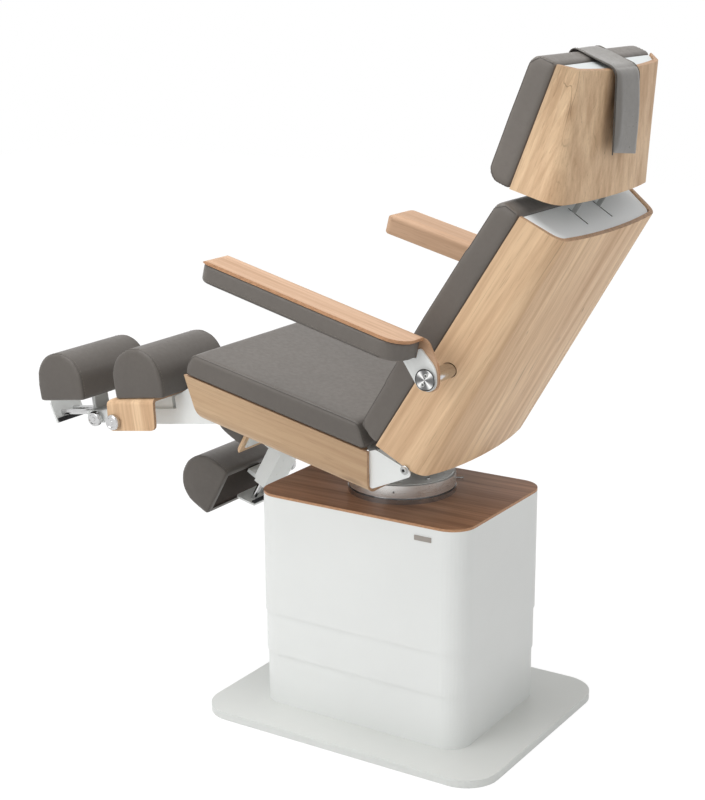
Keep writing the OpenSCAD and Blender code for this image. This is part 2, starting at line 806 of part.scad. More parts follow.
// Welded frame in the back: uprights, cross tubes, recline lugs and the sleeves of the headrest bars
module back_frame() {
    low_z = back_tube;
    top_z = back_l - 2 * back_tube;
    arm_bar_z = arm_in_back.y - back_tube / 2;
    span = half_w - ply_t - back_tube;
    lug_r = recline_pin_r * 2.2;
    sleeve_low = sleeve_low_z;
    sleeve_t = bar_t + 2 * sleeve_wall;
    shaft_from = span - back_tube;
    color("silver") in_back() difference() {
        union() {
            both_sides() translate([back_tube_x - back_tube / 2, back_tube_y, low_z])
                cube([back_tube, back_tube, back_l - 3 * back_tube]);
            for (z = [low_z, sleeve_low, top_z - back_tube])
                translate([-span, back_tube_y, z]) cube([2 * span, back_tube, back_tube]);
            translate([-span, back_tube_y, arm_bar_z - back_tube / 2])
                cube([2 * span, arm_in_back.x - back_tube_y, back_tube * 2]);
            translate([0, arm_in_back.x, arm_in_back.y]) both_sides()
                round_bar_x(shaft_from - back_tube, span, arm_shaft_r * 1.5);
            both_sides() translate([bar_x - sleeve_t / 2, back_tube_y, sleeve_low])
                cube([sleeve_t, bar_y + bar_w, top_z - sleeve_low]);
            both_sides() side_plate(back_lug_x, back_lug_t) polygon(rounded([
                [back_tube_y, low_z + back_tube, 0],
                [back_tube_y, low_z, 0],
                [recline_in_back.x - lug_r, recline_in_back.y - lug_r, lug_r * 0.95],
                [recline_in_back.x + lug_r, recline_in_back.y - lug_r, lug_r * 0.95],
                [recline_in_back.x + lug_r * 0.8, recline_in_back.y + lug_r * 1.2, lug_r * 0.5],
                [back_tube_y + back_tube, low_z + back_tube, 0]
            ]));
        }
        translate([0, recline_in_back.x, recline_in_back.y])
            round_bar_x(-half_w, half_w, recline_pin_r + pin_clear);
        translate([0, arm_in_back.x, arm_in_back.y]) both_sides()
            round_bar_x(shaft_from - back_tube * 2, half_w, arm_shaft_r);
        both_sides() translate([bar_x - bar_t / 2 - slide_clear, bar_y - bar_w / 2 - slide_clear, 0])
            cube([bar_t + 2 * slide_clear, bar_w + 2 * slide_clear, back_l]);
    }
}

// Armrest shafts, each with a round polished cap outside the armrest
module arm_shafts() {
    inner_x = half_w - ply_t - back_tube * 4;
    cap_x = arm_x + arm_ply_t + soft_clear + arm_plate_t + slide_clear;
    color("silver") translate([0, arm_place.x, arm_place.y]) both_sides() {
        round_bar_x(inner_x, cap_x, arm_shaft_r);
        round_bar_x(cap_x, cap_x + arm_cap_t, arm_cap_r);
    }
}

// Armrests, with the pivot as origin and +Y to the rear

module in_arm(side) {
    scale_side(side) at_place(arm_place, arm_tilt) children();
}

module arm_side() {
    polygon(rounded([
        [-arm_l, arm_top, arm_wall_h * 0.55],
        [-arm_l, arm_top - arm_wall_h, arm_wall_h * 0.3],
        [-arm_eye_r * 2.95, arm_top - arm_wall_h, arm_eye_r],
        [-arm_eye_r * 0.42, -arm_eye_r * 1.09, arm_eye_r * 0.7],
        [arm_eye_r * 1.14, -arm_eye_r * 0.78, arm_eye_r * 0.8],
        [arm_eye_r * 0.66, arm_eye_r * 1.1, arm_eye_r * 2],
        [-arm_eye_r * 0.9, arm_top, arm_eye_r * 0.9]
    ]));
}

module arm_plan(x0, x1, front, rear) {
    polygon(rounded([
        [x0, front, arm_w * 0.24],
        [x1, front, arm_w * 0.34],
        [x1, rear, arm_w * 0.54],
        [arm_x + arm_ply_t, rear, 0],
        [arm_x + arm_ply_t, arm_eye_r * 2, 0],
        [x0, arm_eye_r * 2, 0]
    ]));
}

module arm_shell(side) {
    rear = -arm_w / 3;
    color("burlywood") in_arm(side) difference() {
        intersection() {
            translate([0, arm_eye_r * 3, 0]) rotate([90, 0, 0])
                linear_extrude(arm_l + arm_eye_r * 4) difference() {
                polygon(rounded([
                    [arm_x, arm_top, arm_wall_edge_r], [arm_x + arm_w, arm_top, 0],
                    [arm_x + arm_w, -arm_l, 0], [arm_x, -arm_l, 0]
                ]));
                polygon(rounded([
                    [arm_x + arm_ply_t, arm_top - arm_ply_t, arm_wall_edge_r - arm_ply_t],
                    [arm_x + 2 * arm_w, arm_top - arm_ply_t, 0],
                    [arm_x + 2 * arm_w, -2 * arm_l, 0], [arm_x + arm_ply_t, -2 * arm_l, 0]
                ]));
            }
            translate([0, 0, -arm_l]) linear_extrude(2 * arm_l) arm_plan(arm_x, arm_x + arm_w, -arm_l, rear);
            side_plate(arm_x, arm_w) arm_side();
        }
        round_bar_x(0, arm_x + arm_w, arm_shaft_r + pin_clear);
    }
}

// White hinge plate on the outer face of the inner wall
module arm_plate(side) {
    low = arm_top - arm_ply_t - arm_pad_h - 2 * soft_clear;
    rear = -arm_w * 0.37;
    color("white") in_arm(side) difference() {
        side_plate(arm_x + arm_ply_t + soft_clear, arm_plate_t) polygon(rounded([
            [rear, arm_top - 1.5 * arm_wall_edge_r, arm_plate_t],
            [rear, low, 0],
            [-arm_eye_r * 2.9, low, arm_plate_t],
            [-arm_eye_r * 0.4, -arm_plate_r * 1.08, arm_plate_r * 0.7],
            [arm_plate_r * 1.12, -arm_plate_r * 0.8, arm_plate_r * 0.8],
            [arm_plate_r * 0.6, arm_plate_r * 1.1, arm_plate_r * 1.6]
        ]));
        round_bar_x(0, arm_x + arm_w, arm_shaft_r + pin_clear);
    }
}

module arm_pad(side) {
    rear = -arm_w * 0.39;
    x0 = arm_x + arm_ply_t + soft_clear;
    x1 = arm_x + arm_w - 2 * soft_clear;
    top = arm_top - arm_ply_t - soft_clear;
    low = top - arm_pad_h;
    color("dimgray") in_arm(side) intersection() {
        translate([0, 0, low]) linear_extrude(arm_pad_h + arm_ply_t) polygon(rounded([
            [x0, -arm_l + arm_ply_t, arm_w * 0.15],
            [x1, -arm_l + arm_ply_t, arm_w * 0.32],
            [x1, rear, arm_w * 0.5],
            [x0, rear, arm_w * 0.05]
        ]));
        rotate([90, 0, 0]) linear_extrude(arm_l) polygon(rounded([
            [x0, top, arm_wall_edge_r - arm_ply_t], [x1 + arm_w, top, 0],
            [x1 + arm_w, low - arm_w, 0], [x0, low - arm_w, 0]
        ]));
    }
}

// Headrest

module headrest_bars() {
    color("silver") in_back() {
        both_sides() translate([bar_x - bar_t / 2, bar_y - bar_w / 2, bar_low_z])
            cube([bar_t, bar_w, bar_top_z - bar_low_z]);
        translate([0, bar_y, bar_top_z]) {
            round_bar_x(-bar_x - bar_t, bar_x + bar_t, head_pin_r);
            both_sides() round_bar_x(bar_x - bar_t / 2, bar_x + bar_t, bar_w * 0.9);
        }
    }
}

// Half width of the room inside the headrest's shell, behind a board of the shell's own thickness
function head_room(t) = head_half - head_ply_t - 6 * slide_clear
    - (head_half - mix(head_low_half, head_top_half, t)) * (head_ply_t + soft_clear)
    / (mix(head_low_d - head_low_crown, head_top_d - head_top_crown, t) - head_ply_t);

// Base board behind the headrest cushion, and the block that turns on the bars' cross pin
module headrest_frame() {
    block_half = bar_x - bar_t / 2 - washer_gap;
    pin = head_pin_in_head;
    low = head_pin_r * 2;
    top = head_l - low;
    low_half = head_room(low / head_l);
    top_half = head_room(top / head_l);
    color("silver") in_head() difference() {
        union() {
            translate([0, soft_clear + head_ply_t, 0]) rotate([90, 0, 0]) linear_extrude(head_ply_t)
                polygon([[-low_half, low], [low_half, low], [top_half, top], [-top_half, top]]);
            side_plate(-block_half, 2 * block_half) polygon(rounded([
                [soft_clear, pin.y - 2 * head_pin_r, 0],
                [pin.x + 1.35 * head_pin_r, pin.y - 1.6 * head_pin_r, head_pin_r],
                [pin.x + 1.35 * head_pin_r, pin.y + 2 * head_pin_r, head_pin_r],
                [soft_clear, pin.y + 4 * head_pin_r, 0]
            ]));
        }
        translate([0, pin.x, pin.y]) round_bar_x(-head_half, head_half, head_pin_r + pin_clear);
    }
}

module headrest_shell() {
    color("burlywood") in_head() loft_wall(
        [for (i = [0 : loft_steps]) head_ring(i / loft_steps, 0)],
        [for (i = [0 : loft_steps]) head_ring(i / loft_steps, head_ply_t)]
    );
}

// Painted plates in the shell's ends; the lower one has slots for the bars
module headrest_end_plates() {
    inset = head_ply_t + 4 * slide_clear;
    t0 = end_plate_drop / head_l;
    t1 = (end_plate_drop + end_plate_t) / head_l;
    slot = 3.4 * bar_w;
    pin = head_pin_in_head;
    color("gainsboro") in_head() {
        difference() {
            loft_plate(head_ring(t0, inset), head_ring(t1, inset));
            both_sides() translate([bar_x - bar_t, pin.x - slot * 0.45, -head_low_d])
                cube([2 * bar_t + washer_gap, slot, 2 * head_low_d]);
            translate([-bar_x, -cut_over, -head_low_d])
                cube([2 * bar_x, cut_over + 2 * head_ply_t, 2 * head_low_d]);
        }
        loft_plate(head_ring(1 - t1, inset), head_ring(1 - t0, inset));
    }
}

module headrest_cushion() {
    color("dimgray") in_head() side_plate(-head_half, 2 * head_half) polygon(rounded([
        [-soft_clear, -soft_clear, cushion_t / 18],
        [-soft_clear, head_l, cushion_t / 9],
        [-head_cushion_t, head_l, head_cushion_t * 0.36],
        [-head_cushion_t, -soft_clear, head_cushion_t * 0.42]
    ]));
}

// Strap from the neck roll over the headrest's top, hanging plumb behind it with a weight in its end
module neck_strap() {
    bend = head_cushion_t * 0.36;
    fold = strap_t * 3;
    weight_t = strap_t * 2;
    front = -head_cushion_t - soft_clear;
    front_low = roll_z + neck_roll_r + slide_clear;
    top = head_l + soft_clear;
    rear = head_top_d + strap_t;
    drop = head_l * strap_drop_share;
    end = [rear + drop * tan(strap_lean), top - drop];
    color("gray") in_head() side_plate(strap_x - strap_w / 2, strap_w) {
        polygon(concat(
            rounded([
                [front - strap_t, front_low, 0],
                [front - strap_t, top + strap_t, bend],
                [rear + strap_t, top + strap_t, fold],
                [end.x + strap_t * cos(strap_lean), end.y + strap_t * sin(strap_lean), 0],
                [end.x, end.y, 0],
                [rear, top, fold - strap_t],
                [front, top, bend - strap_t],
                [front, front_low, 0]
            ])
        ));
        translate(end) rotate(strap_lean) polygon(rounded([
            [strap_t / 2, 0, 0], [weight_t + strap_t, 0, weight_t / 2],
            [weight_t + strap_t, drop * 0.28, weight_t / 2], [strap_t / 2, drop * 0.34, 0]
        ]));
    }
}

// Half-round roll that rests on the cushion's front
module neck_roll() {
    color("dimgray") in_head() translate([strap_x, -head_cushion_t - soft_clear * 0.7, roll_z])
        side_plate(-neck_roll_l / 2, neck_roll_l) intersection() {
            translate([-neck_roll_r / 2, 0]) circle(r = neck_roll_r);
            translate([-4 * neck_roll_r, -4 * neck_roll_r]) square([4 * neck_roll_r, 8 * neck_roll_r]);
        }
}

// Leg supports, drawn for the left one; -Y runs forward along the beam, and the axle is the origin

// Open-fronted box beam, two ears up to the axle, and the plate that carries the saddle at distance s
module leg_beam(side, drop, s) {
    half = beam_w / 2;
    carrier_z = pad_base_z - 2 * soft_clear - saddle_t - carrier_plate_t;
    carrier_l = saddle_l * 0.8;
    carrier_y = -s - (saddle_l + carrier_l) / 2;
    knob_z = rod_z - knob_drop;
    slot = knob_neck_r + slide_clear;
    color("white") in_leg(side, drop) difference() {
        union() {
            side_plate(-half, beam_w) polygon(rounded([
                [-beam_l, -beam_drop, 0],
                [-beam_l, beam_low_z, 0],
                [eye_r, beam_low_z, beam_h * 0.7],
                [eye_r, -beam_drop, 0]
            ]));
            both_sides() side_plate(half - ear_plate_t, ear_plate_t) polygon(rounded([
                [eye_r, -beam_drop - beam_h / 3, 0],
                [eye_r, eye_r, eye_r * 0.95],
                [-eye_r, eye_r, eye_r * 0.95],
                [-s, carrier_z, 0],
                [-s, -beam_drop - beam_h / 3, 0]
            ]));
            translate([-half * 0.9, carrier_y, -beam_drop - beam_t])
                cube([beam_w * 0.9, carrier_l, carrier_z + beam_drop + 2 * beam_t]);
            translate([-pad_l * 0.44, carrier_y, carrier_z])
                cube([pad_l * 0.88, carrier_l, carrier_plate_t]);
        }
        translate([-half + beam_t, -beam_l - cut_over, beam_low_z + beam_t])
            cube([beam_w - 2 * beam_t, beam_l + cut_over - cavity_from, beam_h - 2 * beam_t]);
        translate([half - 2 * beam_t, -beam_l - cut_over, knob_z - slot])
            cube([4 * beam_t, beam_l - right_box + slide_knob_back + slot + cut_over, 2 * slot]);
        round_bar_x(-2 * half, 2 * half, leg_axle_r + pin_clear);
        for (x = hole_rows, i = [0 : 2])
            translate([x, -beam_l + hole_from + i * hole_step, beam_low_z - cut_over])
                cylinder(h = beam_t / 2 + cut_over, r = hole_r);
    }
}

// Bent plywood saddle from distance s onwards, with its flange on the outer side
module leg_saddle(side, drop, s) {
    x1 = half_w - leg_x;
    x0 = -pad_l / 2;
    bend_r = saddle_t * 1.7;
    top = pad_base_z - soft_clear;
    color("burlywood") in_leg(side, drop) difference() {
        intersection() {
            translate([0, -s, 0]) rotate([90, 0, 0]) linear_extrude(saddle_l + saddle_shear)
                polygon(rounded([
                    [x0, top, 0], [x1, top, bend_r], [x1, saddle_low_z, 0],
                    [x1 - saddle_t, saddle_low_z, 0],
                    [x1 - saddle_t, top - saddle_t, bend_r - saddle_t],
                    [x0, top - saddle_t, 0]
                ]));
            side_plate(x0, x1 - x0) polygon(rounded([
                [-s - saddle_l, top, bend_r], [-s - saddle_l - saddle_shear, saddle_low_z, bend_r],
                [-s - saddle_shear, saddle_low_z, bend_r], [-s, top, 0]
            ]));
        }
        translate([0, -s - rod_knob_ahead, rod_z]) round_bar_x(x0, half_w, knob_neck_r + slide_clear);
    }
}

// Half-round pad standing on the middle of its base, with a recess of the given depth in its underside
module leg_pad(side, drop, s, size, base, recess) {
    half = size.x / 2;
    color("dimgray") in_leg(side, drop) translate([0, -s, base]) difference() {
        side_plate(-pad_l / 2, pad_l) {
            translate([-half, 0]) square([size.x, size.y - half]);
            translate([0, size.y - half]) intersection() {
                circle(r = half);
                translate([-half, -half / 2]) square([size.x, size.x]);
            }
        }
        if (recess > 0) translate([-pad_l / 2 + recess_wall, -half + recess_wall, -cut_over])
            cube([pad_l - 2 * recess_wall, size.x - 2 * recess_wall, recess + cut_over]);
    }
}

module calf_pad(side, drop, s) {
    leg_pad(side, drop, s, [calf_w, calf_h], pad_base_z, 0);
}

module foot_pad(side, drop, s) {
    leg_pad(side, drop, s, [foot_w, foot_h], foot_base_z, recess_h);
}

module rods(side, drop, reach) {
    color("silver") in_leg(side, drop) for (x = [-1, 1])
        translate([x * rod_gap, -reach + rod_l - plate_t, rod_z]) rotate([90, 0, 0])
            cylinder(h = rod_l, r = rod_r);
}

module at_plate(side, drop, reach) {
    in_leg(side, drop) translate([0, -reach, rod_z]) rotate([plate_tip, 0, 0]) children();
}

module foot_plate(side, drop, reach) {
    rise = plate_top - plate_low;
    color("white") difference() {
        at_plate(side, drop, reach) rotate([90, 0, 0]) translate([0, 0, -plate_t]) linear_extrude(plate_t)
            polygon(rounded([
                [-plate_half, plate_low, 0], [plate_half, plate_low, 0],
                [plate_half, plate_top, rise / 5], [-plate_half, plate_top, rise / 5]
            ]));
        in_leg(side, drop) for (x = [-1, 1])
            translate([x * rod_gap, -reach + rod_l / 2, rod_z]) rotate([90, 0, 0])
                cylinder(h = rod_l, r = rod_r + pin_clear);
    }
}

// Rubber strip on the foot plate's rear face, along its lower edge
module foot_strip(side, drop, reach) {
    color("black") at_plate(side, drop, reach)
        translate([-plate_half + strip_inset, plate_t, plate_low])
            cube([2 * (plate_half - strip_inset), strip_t, strip_w]);
}

// Inner box with bores for the rods, and a post up to the bearer plate in the foot pad's recess
module foot_slide(side, drop, s, box) {
    half = beam_w / 2 - beam_t - slide_clear;
    low = beam_low_z + beam_t + slide_clear;
    high = -beam_drop - beam_t - slide_clear;
    top = foot_base_z + recess_h - soft_clear;
    inset = recess_wall + 4 * soft_clear;
    front = max(box, s - foot_w / 2 + inset + post_t);
    ahead = front - box;
    color("white") in_leg(side, drop) difference() {
        union() {
            translate([-half, -box, low]) cube([2 * half, box_l, high - low]);
            translate([-post_half, -front, low]) cube([2 * post_half, ahead + post_t, high - low]);
            translate([-post_half, -front, low]) cube([2 * post_half, post_t, top - low]);
            translate([-pad_l / 2 + inset, -s - foot_w / 2 + inset, top - bearer_t])
                cube([pad_l - 2 * inset, foot_w - 2 * inset, bearer_t]);
        }
        for (x = [-1, 1]) translate([x * rod_gap, -box + box_l + cut_over, rod_z]) rotate([90, 0, 0])
            cylinder(h = ahead + box_l + 2 * cut_over, r = rod_r + pin_clear);
    }
}

// Clamp knob whose neck starts at x = from
module clamp_knob(from, neck) {
    dish = knob_t / 6;
    round_bar_x(from, from + neck, knob_neck_r);
    difference() {
        round_bar_x(from + neck, from + neck + knob_t, knob_r);
        round_bar_x(from + neck + knob_t - dish, from + neck + 2 * knob_t, knob_r * 0.6);
    }
}

module rod_knob(side, drop, s) {
    from = beam_w / 2 + slide_clear;
    color("silver") in_leg(side, drop) translate([0, -s - rod_knob_ahead, rod_z])
        clamp_knob(from, half_w - leg_x + slide_clear - from);
}

module slide_knob(side, drop, box) {
    from = beam_w / 2 - beam_t;
    color("silver") in_leg(side, drop) translate([0, -box + slide_knob_back, rod_z - knob_drop])
        clamp_knob(from, 2 * beam_t);
}

base_plate();
lower_shroud();
lift_tube_lower();
lift_motor();
middle_shroud();
lift_tube_middle();
upper_shroud();
pedestal_frame();
pedestal_top();
badge_plate();
turntable_base();
turntable_ring();
tilt_bracket();
tilt_axle();
swivel_lock_pin();
seat_frame();
seat_shell();
seat_end_frame();
seat_cushion();
leg_axle();
tilt_drive();
recline_pins();
back_frame();
back_shell();
back_end_plates();
back_cushion();
arm_shafts();
arm_shell(1);  // left_arm_shell
arm_pad(1);  // left_arm_pad
arm_plate(1);  // left_arm_plate
arm_shell(-1);  // right_arm_shell
arm_pad(-1);  // right_arm_pad
arm_plate(-1);  // right_arm_plate
headrest_bars();
headrest_frame();
headrest_shell();
headrest_end_plates();
headrest_cushion();
neck_strap();
neck_roll();
leg_beam(1, left_drop, left_saddle);  // left_leg_beam
leg_saddle(1, left_drop, left_saddle);  // left_leg_saddle
calf_pad(1, left_drop, left_calf);  // left_calf_pad
rods(1, left_drop, left_reach);  // left_rods
foot_plate(1, left_drop, left_reach);  // left_foot_plate
foot_strip(1, left_drop, left_reach);  // left_foot_strip
foot_slide(1, left_drop, left_foot, left_box);  // left_foot_slide
foot_pad(1, left_drop, left_foot);  // left_foot_pad
rod_knob(1, left_drop, left_saddle);  // left_rod_knob
slide_knob(1, left_drop, left_box);  // left_slide_knob
leg_beam(-1, right_drop, right_saddle);  // right_leg_beam
leg_saddle(-1, right_drop, right_saddle);  // right_leg_saddle
calf_pad(-1, right_drop, right_calf);  // right_calf_pad
rods(-1, right_drop, right_reach);  // right_rods
foot_plate(-1, right_drop, right_reach);  // right_foot_plate
foot_strip(-1, right_drop, right_reach);  // right_foot_strip
foot_slide(-1, right_drop, right_foot, right_box);  // right_foot_slide
foot_pad(-1, right_drop, right_foot);  // right_foot_pad
rod_knob(-1, right_drop, right_saddle);  // right_rod_knob
slide_knob(-1, right_drop, right_box);  // right_slide_knob
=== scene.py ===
import math

import bmesh
import bpy
import numpy as np
from mathutils import Matrix, Vector
from mathutils.bvhtree import BVHTree


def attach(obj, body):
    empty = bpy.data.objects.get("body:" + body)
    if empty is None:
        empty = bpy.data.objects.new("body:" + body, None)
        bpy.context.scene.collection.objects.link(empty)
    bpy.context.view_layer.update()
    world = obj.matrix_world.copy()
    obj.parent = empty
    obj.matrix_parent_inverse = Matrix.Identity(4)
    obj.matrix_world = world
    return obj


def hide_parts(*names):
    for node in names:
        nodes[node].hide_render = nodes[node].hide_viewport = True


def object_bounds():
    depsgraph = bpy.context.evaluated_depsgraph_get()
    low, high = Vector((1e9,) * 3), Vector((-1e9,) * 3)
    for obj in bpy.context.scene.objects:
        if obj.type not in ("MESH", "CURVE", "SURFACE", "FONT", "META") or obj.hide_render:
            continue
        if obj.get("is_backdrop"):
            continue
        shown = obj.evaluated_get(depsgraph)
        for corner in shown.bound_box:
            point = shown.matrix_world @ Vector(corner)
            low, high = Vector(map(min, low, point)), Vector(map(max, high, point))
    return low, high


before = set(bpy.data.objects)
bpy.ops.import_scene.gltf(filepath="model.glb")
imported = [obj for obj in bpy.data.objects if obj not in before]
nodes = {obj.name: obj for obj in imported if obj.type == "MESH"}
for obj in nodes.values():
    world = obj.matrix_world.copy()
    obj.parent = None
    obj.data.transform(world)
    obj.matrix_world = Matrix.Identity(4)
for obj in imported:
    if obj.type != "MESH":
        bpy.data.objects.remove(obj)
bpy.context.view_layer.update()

scene = bpy.context.scene
for name in ("Cube", "Light", "Camera"):
    if name in bpy.data.objects:
        bpy.data.objects.remove(bpy.data.objects[name], do_unlink=True)


# Places of the assemblies
def at_place(y, z, tip):
    """A place on the middle plane, y and z in metres, tipped back by degrees about X."""
    return Matrix.Translation((0, y, z)) @ Matrix.Rotation(math.radians(-tip), 4, "X")


ROW = Matrix.Identity(4)
SEAT = at_place(0.0702, 0.6946, 12.2)
BACK = at_place(0.0921, 0.7133, 32.65)
HEAD = at_place(0.3755, 1.2670, 21.6)
ARM = at_place(0.2600, 0.8955, 14.2)
DROP = {"left": 8.5, "right": 61.0}
SIDE = {"left": 1, "right": -1}


def leg_frame(side):
    """The place of a leg support's hinge, its Y axis along the support's box."""
    place = Matrix.Translation((SIDE[side] * 0.134, -0.3803, 0.7782))
    return place @ Matrix.Rotation(math.radians(DROP[side]), 4, "X")


def linear(r, g, b):
    """A colour of 8-bit values, as the shaders take it."""
    def straight(c):
        return c / 12.92 if c <= 0.04045 else ((c + 0.055) / 1.055) ** 2.4

    return (*(straight(c / 255) for c in (r, g, b)), 1)


def shade(colour, k):
    """The colour made darker or lighter k times."""
    return tuple(c * k for c in colour[:3]) + (1,)


# Materials
class Tree:
    """A node material with a Principled shader, and short calls for its nodes."""

    def __init__(self, name, place=None):
        self.mat = bpy.data.materials.new(name)
        self.mat.use_nodes = True
        self.nt = self.mat.node_tree
        self.nt.nodes.clear()
        self.out = self.add("ShaderNodeOutputMaterial")
        self.bsdf = self.add("ShaderNodeBsdfPrincipled")
        self.nt.links.new(self.bsdf.outputs["BSDF"], self.out.inputs["Surface"])
        tex = self.add("ShaderNodeTexCoord")
        self.point, self.normal = tex.outputs["Object"], tex.outputs["Normal"]
        if place is not None:
            turn = place.to_3x3().inverted()
            shift = -(turn @ place.translation)
            euler = turn.to_euler("XYZ")
            for kind in ("POINT", "VECTOR"):
                m = self.add("ShaderNodeMapping", vector_type=kind)
                m.inputs["Rotation"].default_value = euler
                if kind == "POINT":
                    m.inputs["Location"].default_value = shift
                    self.nt.links.new(self.point, m.inputs["Vector"])
                    self.point = m.outputs["Vector"]
                else:
                    self.nt.links.new(self.normal, m.inputs["Vector"])
                    self.normal = m.outputs["Vector"]

    def add(self, kind, **values):
        node = self.nt.nodes.new(kind)
        for k, v in values.items():
            setattr(node, k, v)
        return node

    def put(self, socket, value):
        if isinstance(value, bpy.types.NodeSocket):
            self.nt.links.new(value, socket)
        else:
            socket.default_value = value

    def set(self, name, value):
        self.put(self.bsdf.inputs[name], value)

    def math(self, op, a, b=0.0, clamp=False):
        n = self.add("ShaderNodeMath", operation=op, use_clamp=clamp)
        self.put(n.inputs[0], a)
        self.put(n.inputs[1], b)
        return n.outputs[0]

    def part(self, vector, axis):
        n = self.add("ShaderNodeSeparateXYZ")
        self.put(n.inputs[0], vector)
        return n.outputs[axis]

    def stretch(self, scale, shift=(0, 0, 0)):
        n = self.add("ShaderNodeMapping", vector_type="POINT")
        self.put(n.inputs["Vector"], self.point)
        n.inputs["Scale"].default_value = scale
        n.inputs["Location"].default_value = shift
        return n.outputs["Vector"]

    def noise(self, vector, scale, detail=3.0, rough=0.5, bend=0.0):
        n = self.add("ShaderNodeTexNoise")
        self.put(n.inputs["Vector"], vector)
        n.inputs["Scale"].default_value = scale
        n.inputs["Detail"].default_value = detail
        n.inputs["Roughness"].default_value = rough
        n.inputs["Distortion"].default_value = bend
        return n.outputs["Fac"]

    def cells(self, vector, scale, feature="F1"):
        n = self.add("ShaderNodeTexVoronoi", feature=feature)
        self.put(n.inputs["Vector"], vector)
        n.inputs["Scale"].default_value = scale
        return n.outputs["Distance"]

    def rings(self, vector, scale, bend, axis):
        n = self.add("ShaderNodeTexWave", wave_type="RINGS", rings_direction=axis)
        self.put(n.inputs["Vector"], vector)
        n.inputs["Scale"].default_value = scale
        n.inputs["Distortion"].default_value = bend
        n.inputs["Detail"].default_value = 3.0
        n.inputs["Detail Scale"].default_value = 1.4
        return n.outputs["Fac"]

    def level(self, factor, low, high, a=0.0, b=1.0):
        n = self.add("ShaderNodeMapRange")
        self.put(n.inputs["Value"], factor)
        n.inputs["From Min"].default_value = low
        n.inputs["From Max"].default_value = high
        n.inputs["To Min"].default_value = a
        n.inputs["To Max"].default_value = b
        return n.outputs["Result"]

    def mix(self, factor, a, b, mode="MIX"):
        n = self.add("ShaderNodeMix", data_type="RGBA", blend_type=mode)
        self.put(n.inputs["Factor"], factor)
        self.put(n.inputs[6], a)
        self.put(n.inputs[7], b)
        return n.outputs[2]

    def bump(self, height, strength, distance, normal=None):
        n = self.add("ShaderNodeBump")
        n.inputs["Strength"].default_value = strength
        n.inputs["Distance"].default_value = distance
        self.put(n.inputs["Height"], height)
        if normal is not None:
            self.put(n.inputs["Normal"], normal)
        return n.outputs["Normal"]


TAUPE = linear(100, 94, 88)


def leather(name, colour=TAUPE, rough=0.46):
    t = Tree(name)
    p = t.point
    soft = t.noise(p, 7.0, 3.0, 0.55)
    mottle = t.noise(p, 95.0, 4.0, 0.6)
    c = t.mix(t.level(soft, 0.32, 0.68), shade(colour, 0.93), shade(colour, 1.06))
    c = t.mix(t.math("MULTIPLY", t.level(mottle, 0.35, 0.65), 0.22), c, shade(colour, 0.82))
    grain = t.cells(p, 620.0, "SMOOTH_F1")
    crease = t.noise(p, 260.0, 5.0, 0.62, 0.6)
    pits = t.level(grain, 0.0, 0.55)
    c = t.mix(t.math("MULTIPLY", pits, 0.10), c, shade(colour, 1.15))
    t.set("Base Color", c)
    t.set("Roughness", t.level(mottle, 0.3, 0.7, rough - 0.05, rough + 0.08))
    t.bsdf.inputs["Sheen Weight"].default_value = 0.08
    t.bsdf.inputs["Sheen Roughness"].default_value = 0.5
    t.bsdf.inputs["Specular IOR Level"].default_value = 0.46
    n = t.bump(t.noise(p, 16.0, 2.0, 0.5), 0.10, 0.004)
    n = t.bump(crease, 0.16, 0.0006, n)
    n = t.bump(grain, 0.22, 0.0004, n)
    t.set("Normal", n)
    return t.mat


def thread(name, colour):
    t = Tree(name)
    c = t.mix(t.noise(t.point, 900.0, 2.0), shade(colour, 0.8), shade(colour, 1.15))
    t.set("Base Color", c)
    t.set("Roughness", t.level(t.noise(t.point, 400.0), 0.3, 0.7, 0.62, 0.8))
    t.set("Normal", t.bump(t.noise(t.point, 2500.0, 1.0), 0.3, 0.0002))
    return t.mat


OAK = (linear(238, 206, 168), linear(221, 186, 148), linear(190, 152, 117), linear(116, 86, 62))
TOP = (linear(186, 138, 102), linear(158, 114, 82), linear(112, 78, 54), linear(66, 44, 31))
EDGE = linear(188, 142, 106)
TAN = linear(182, 146, 115)


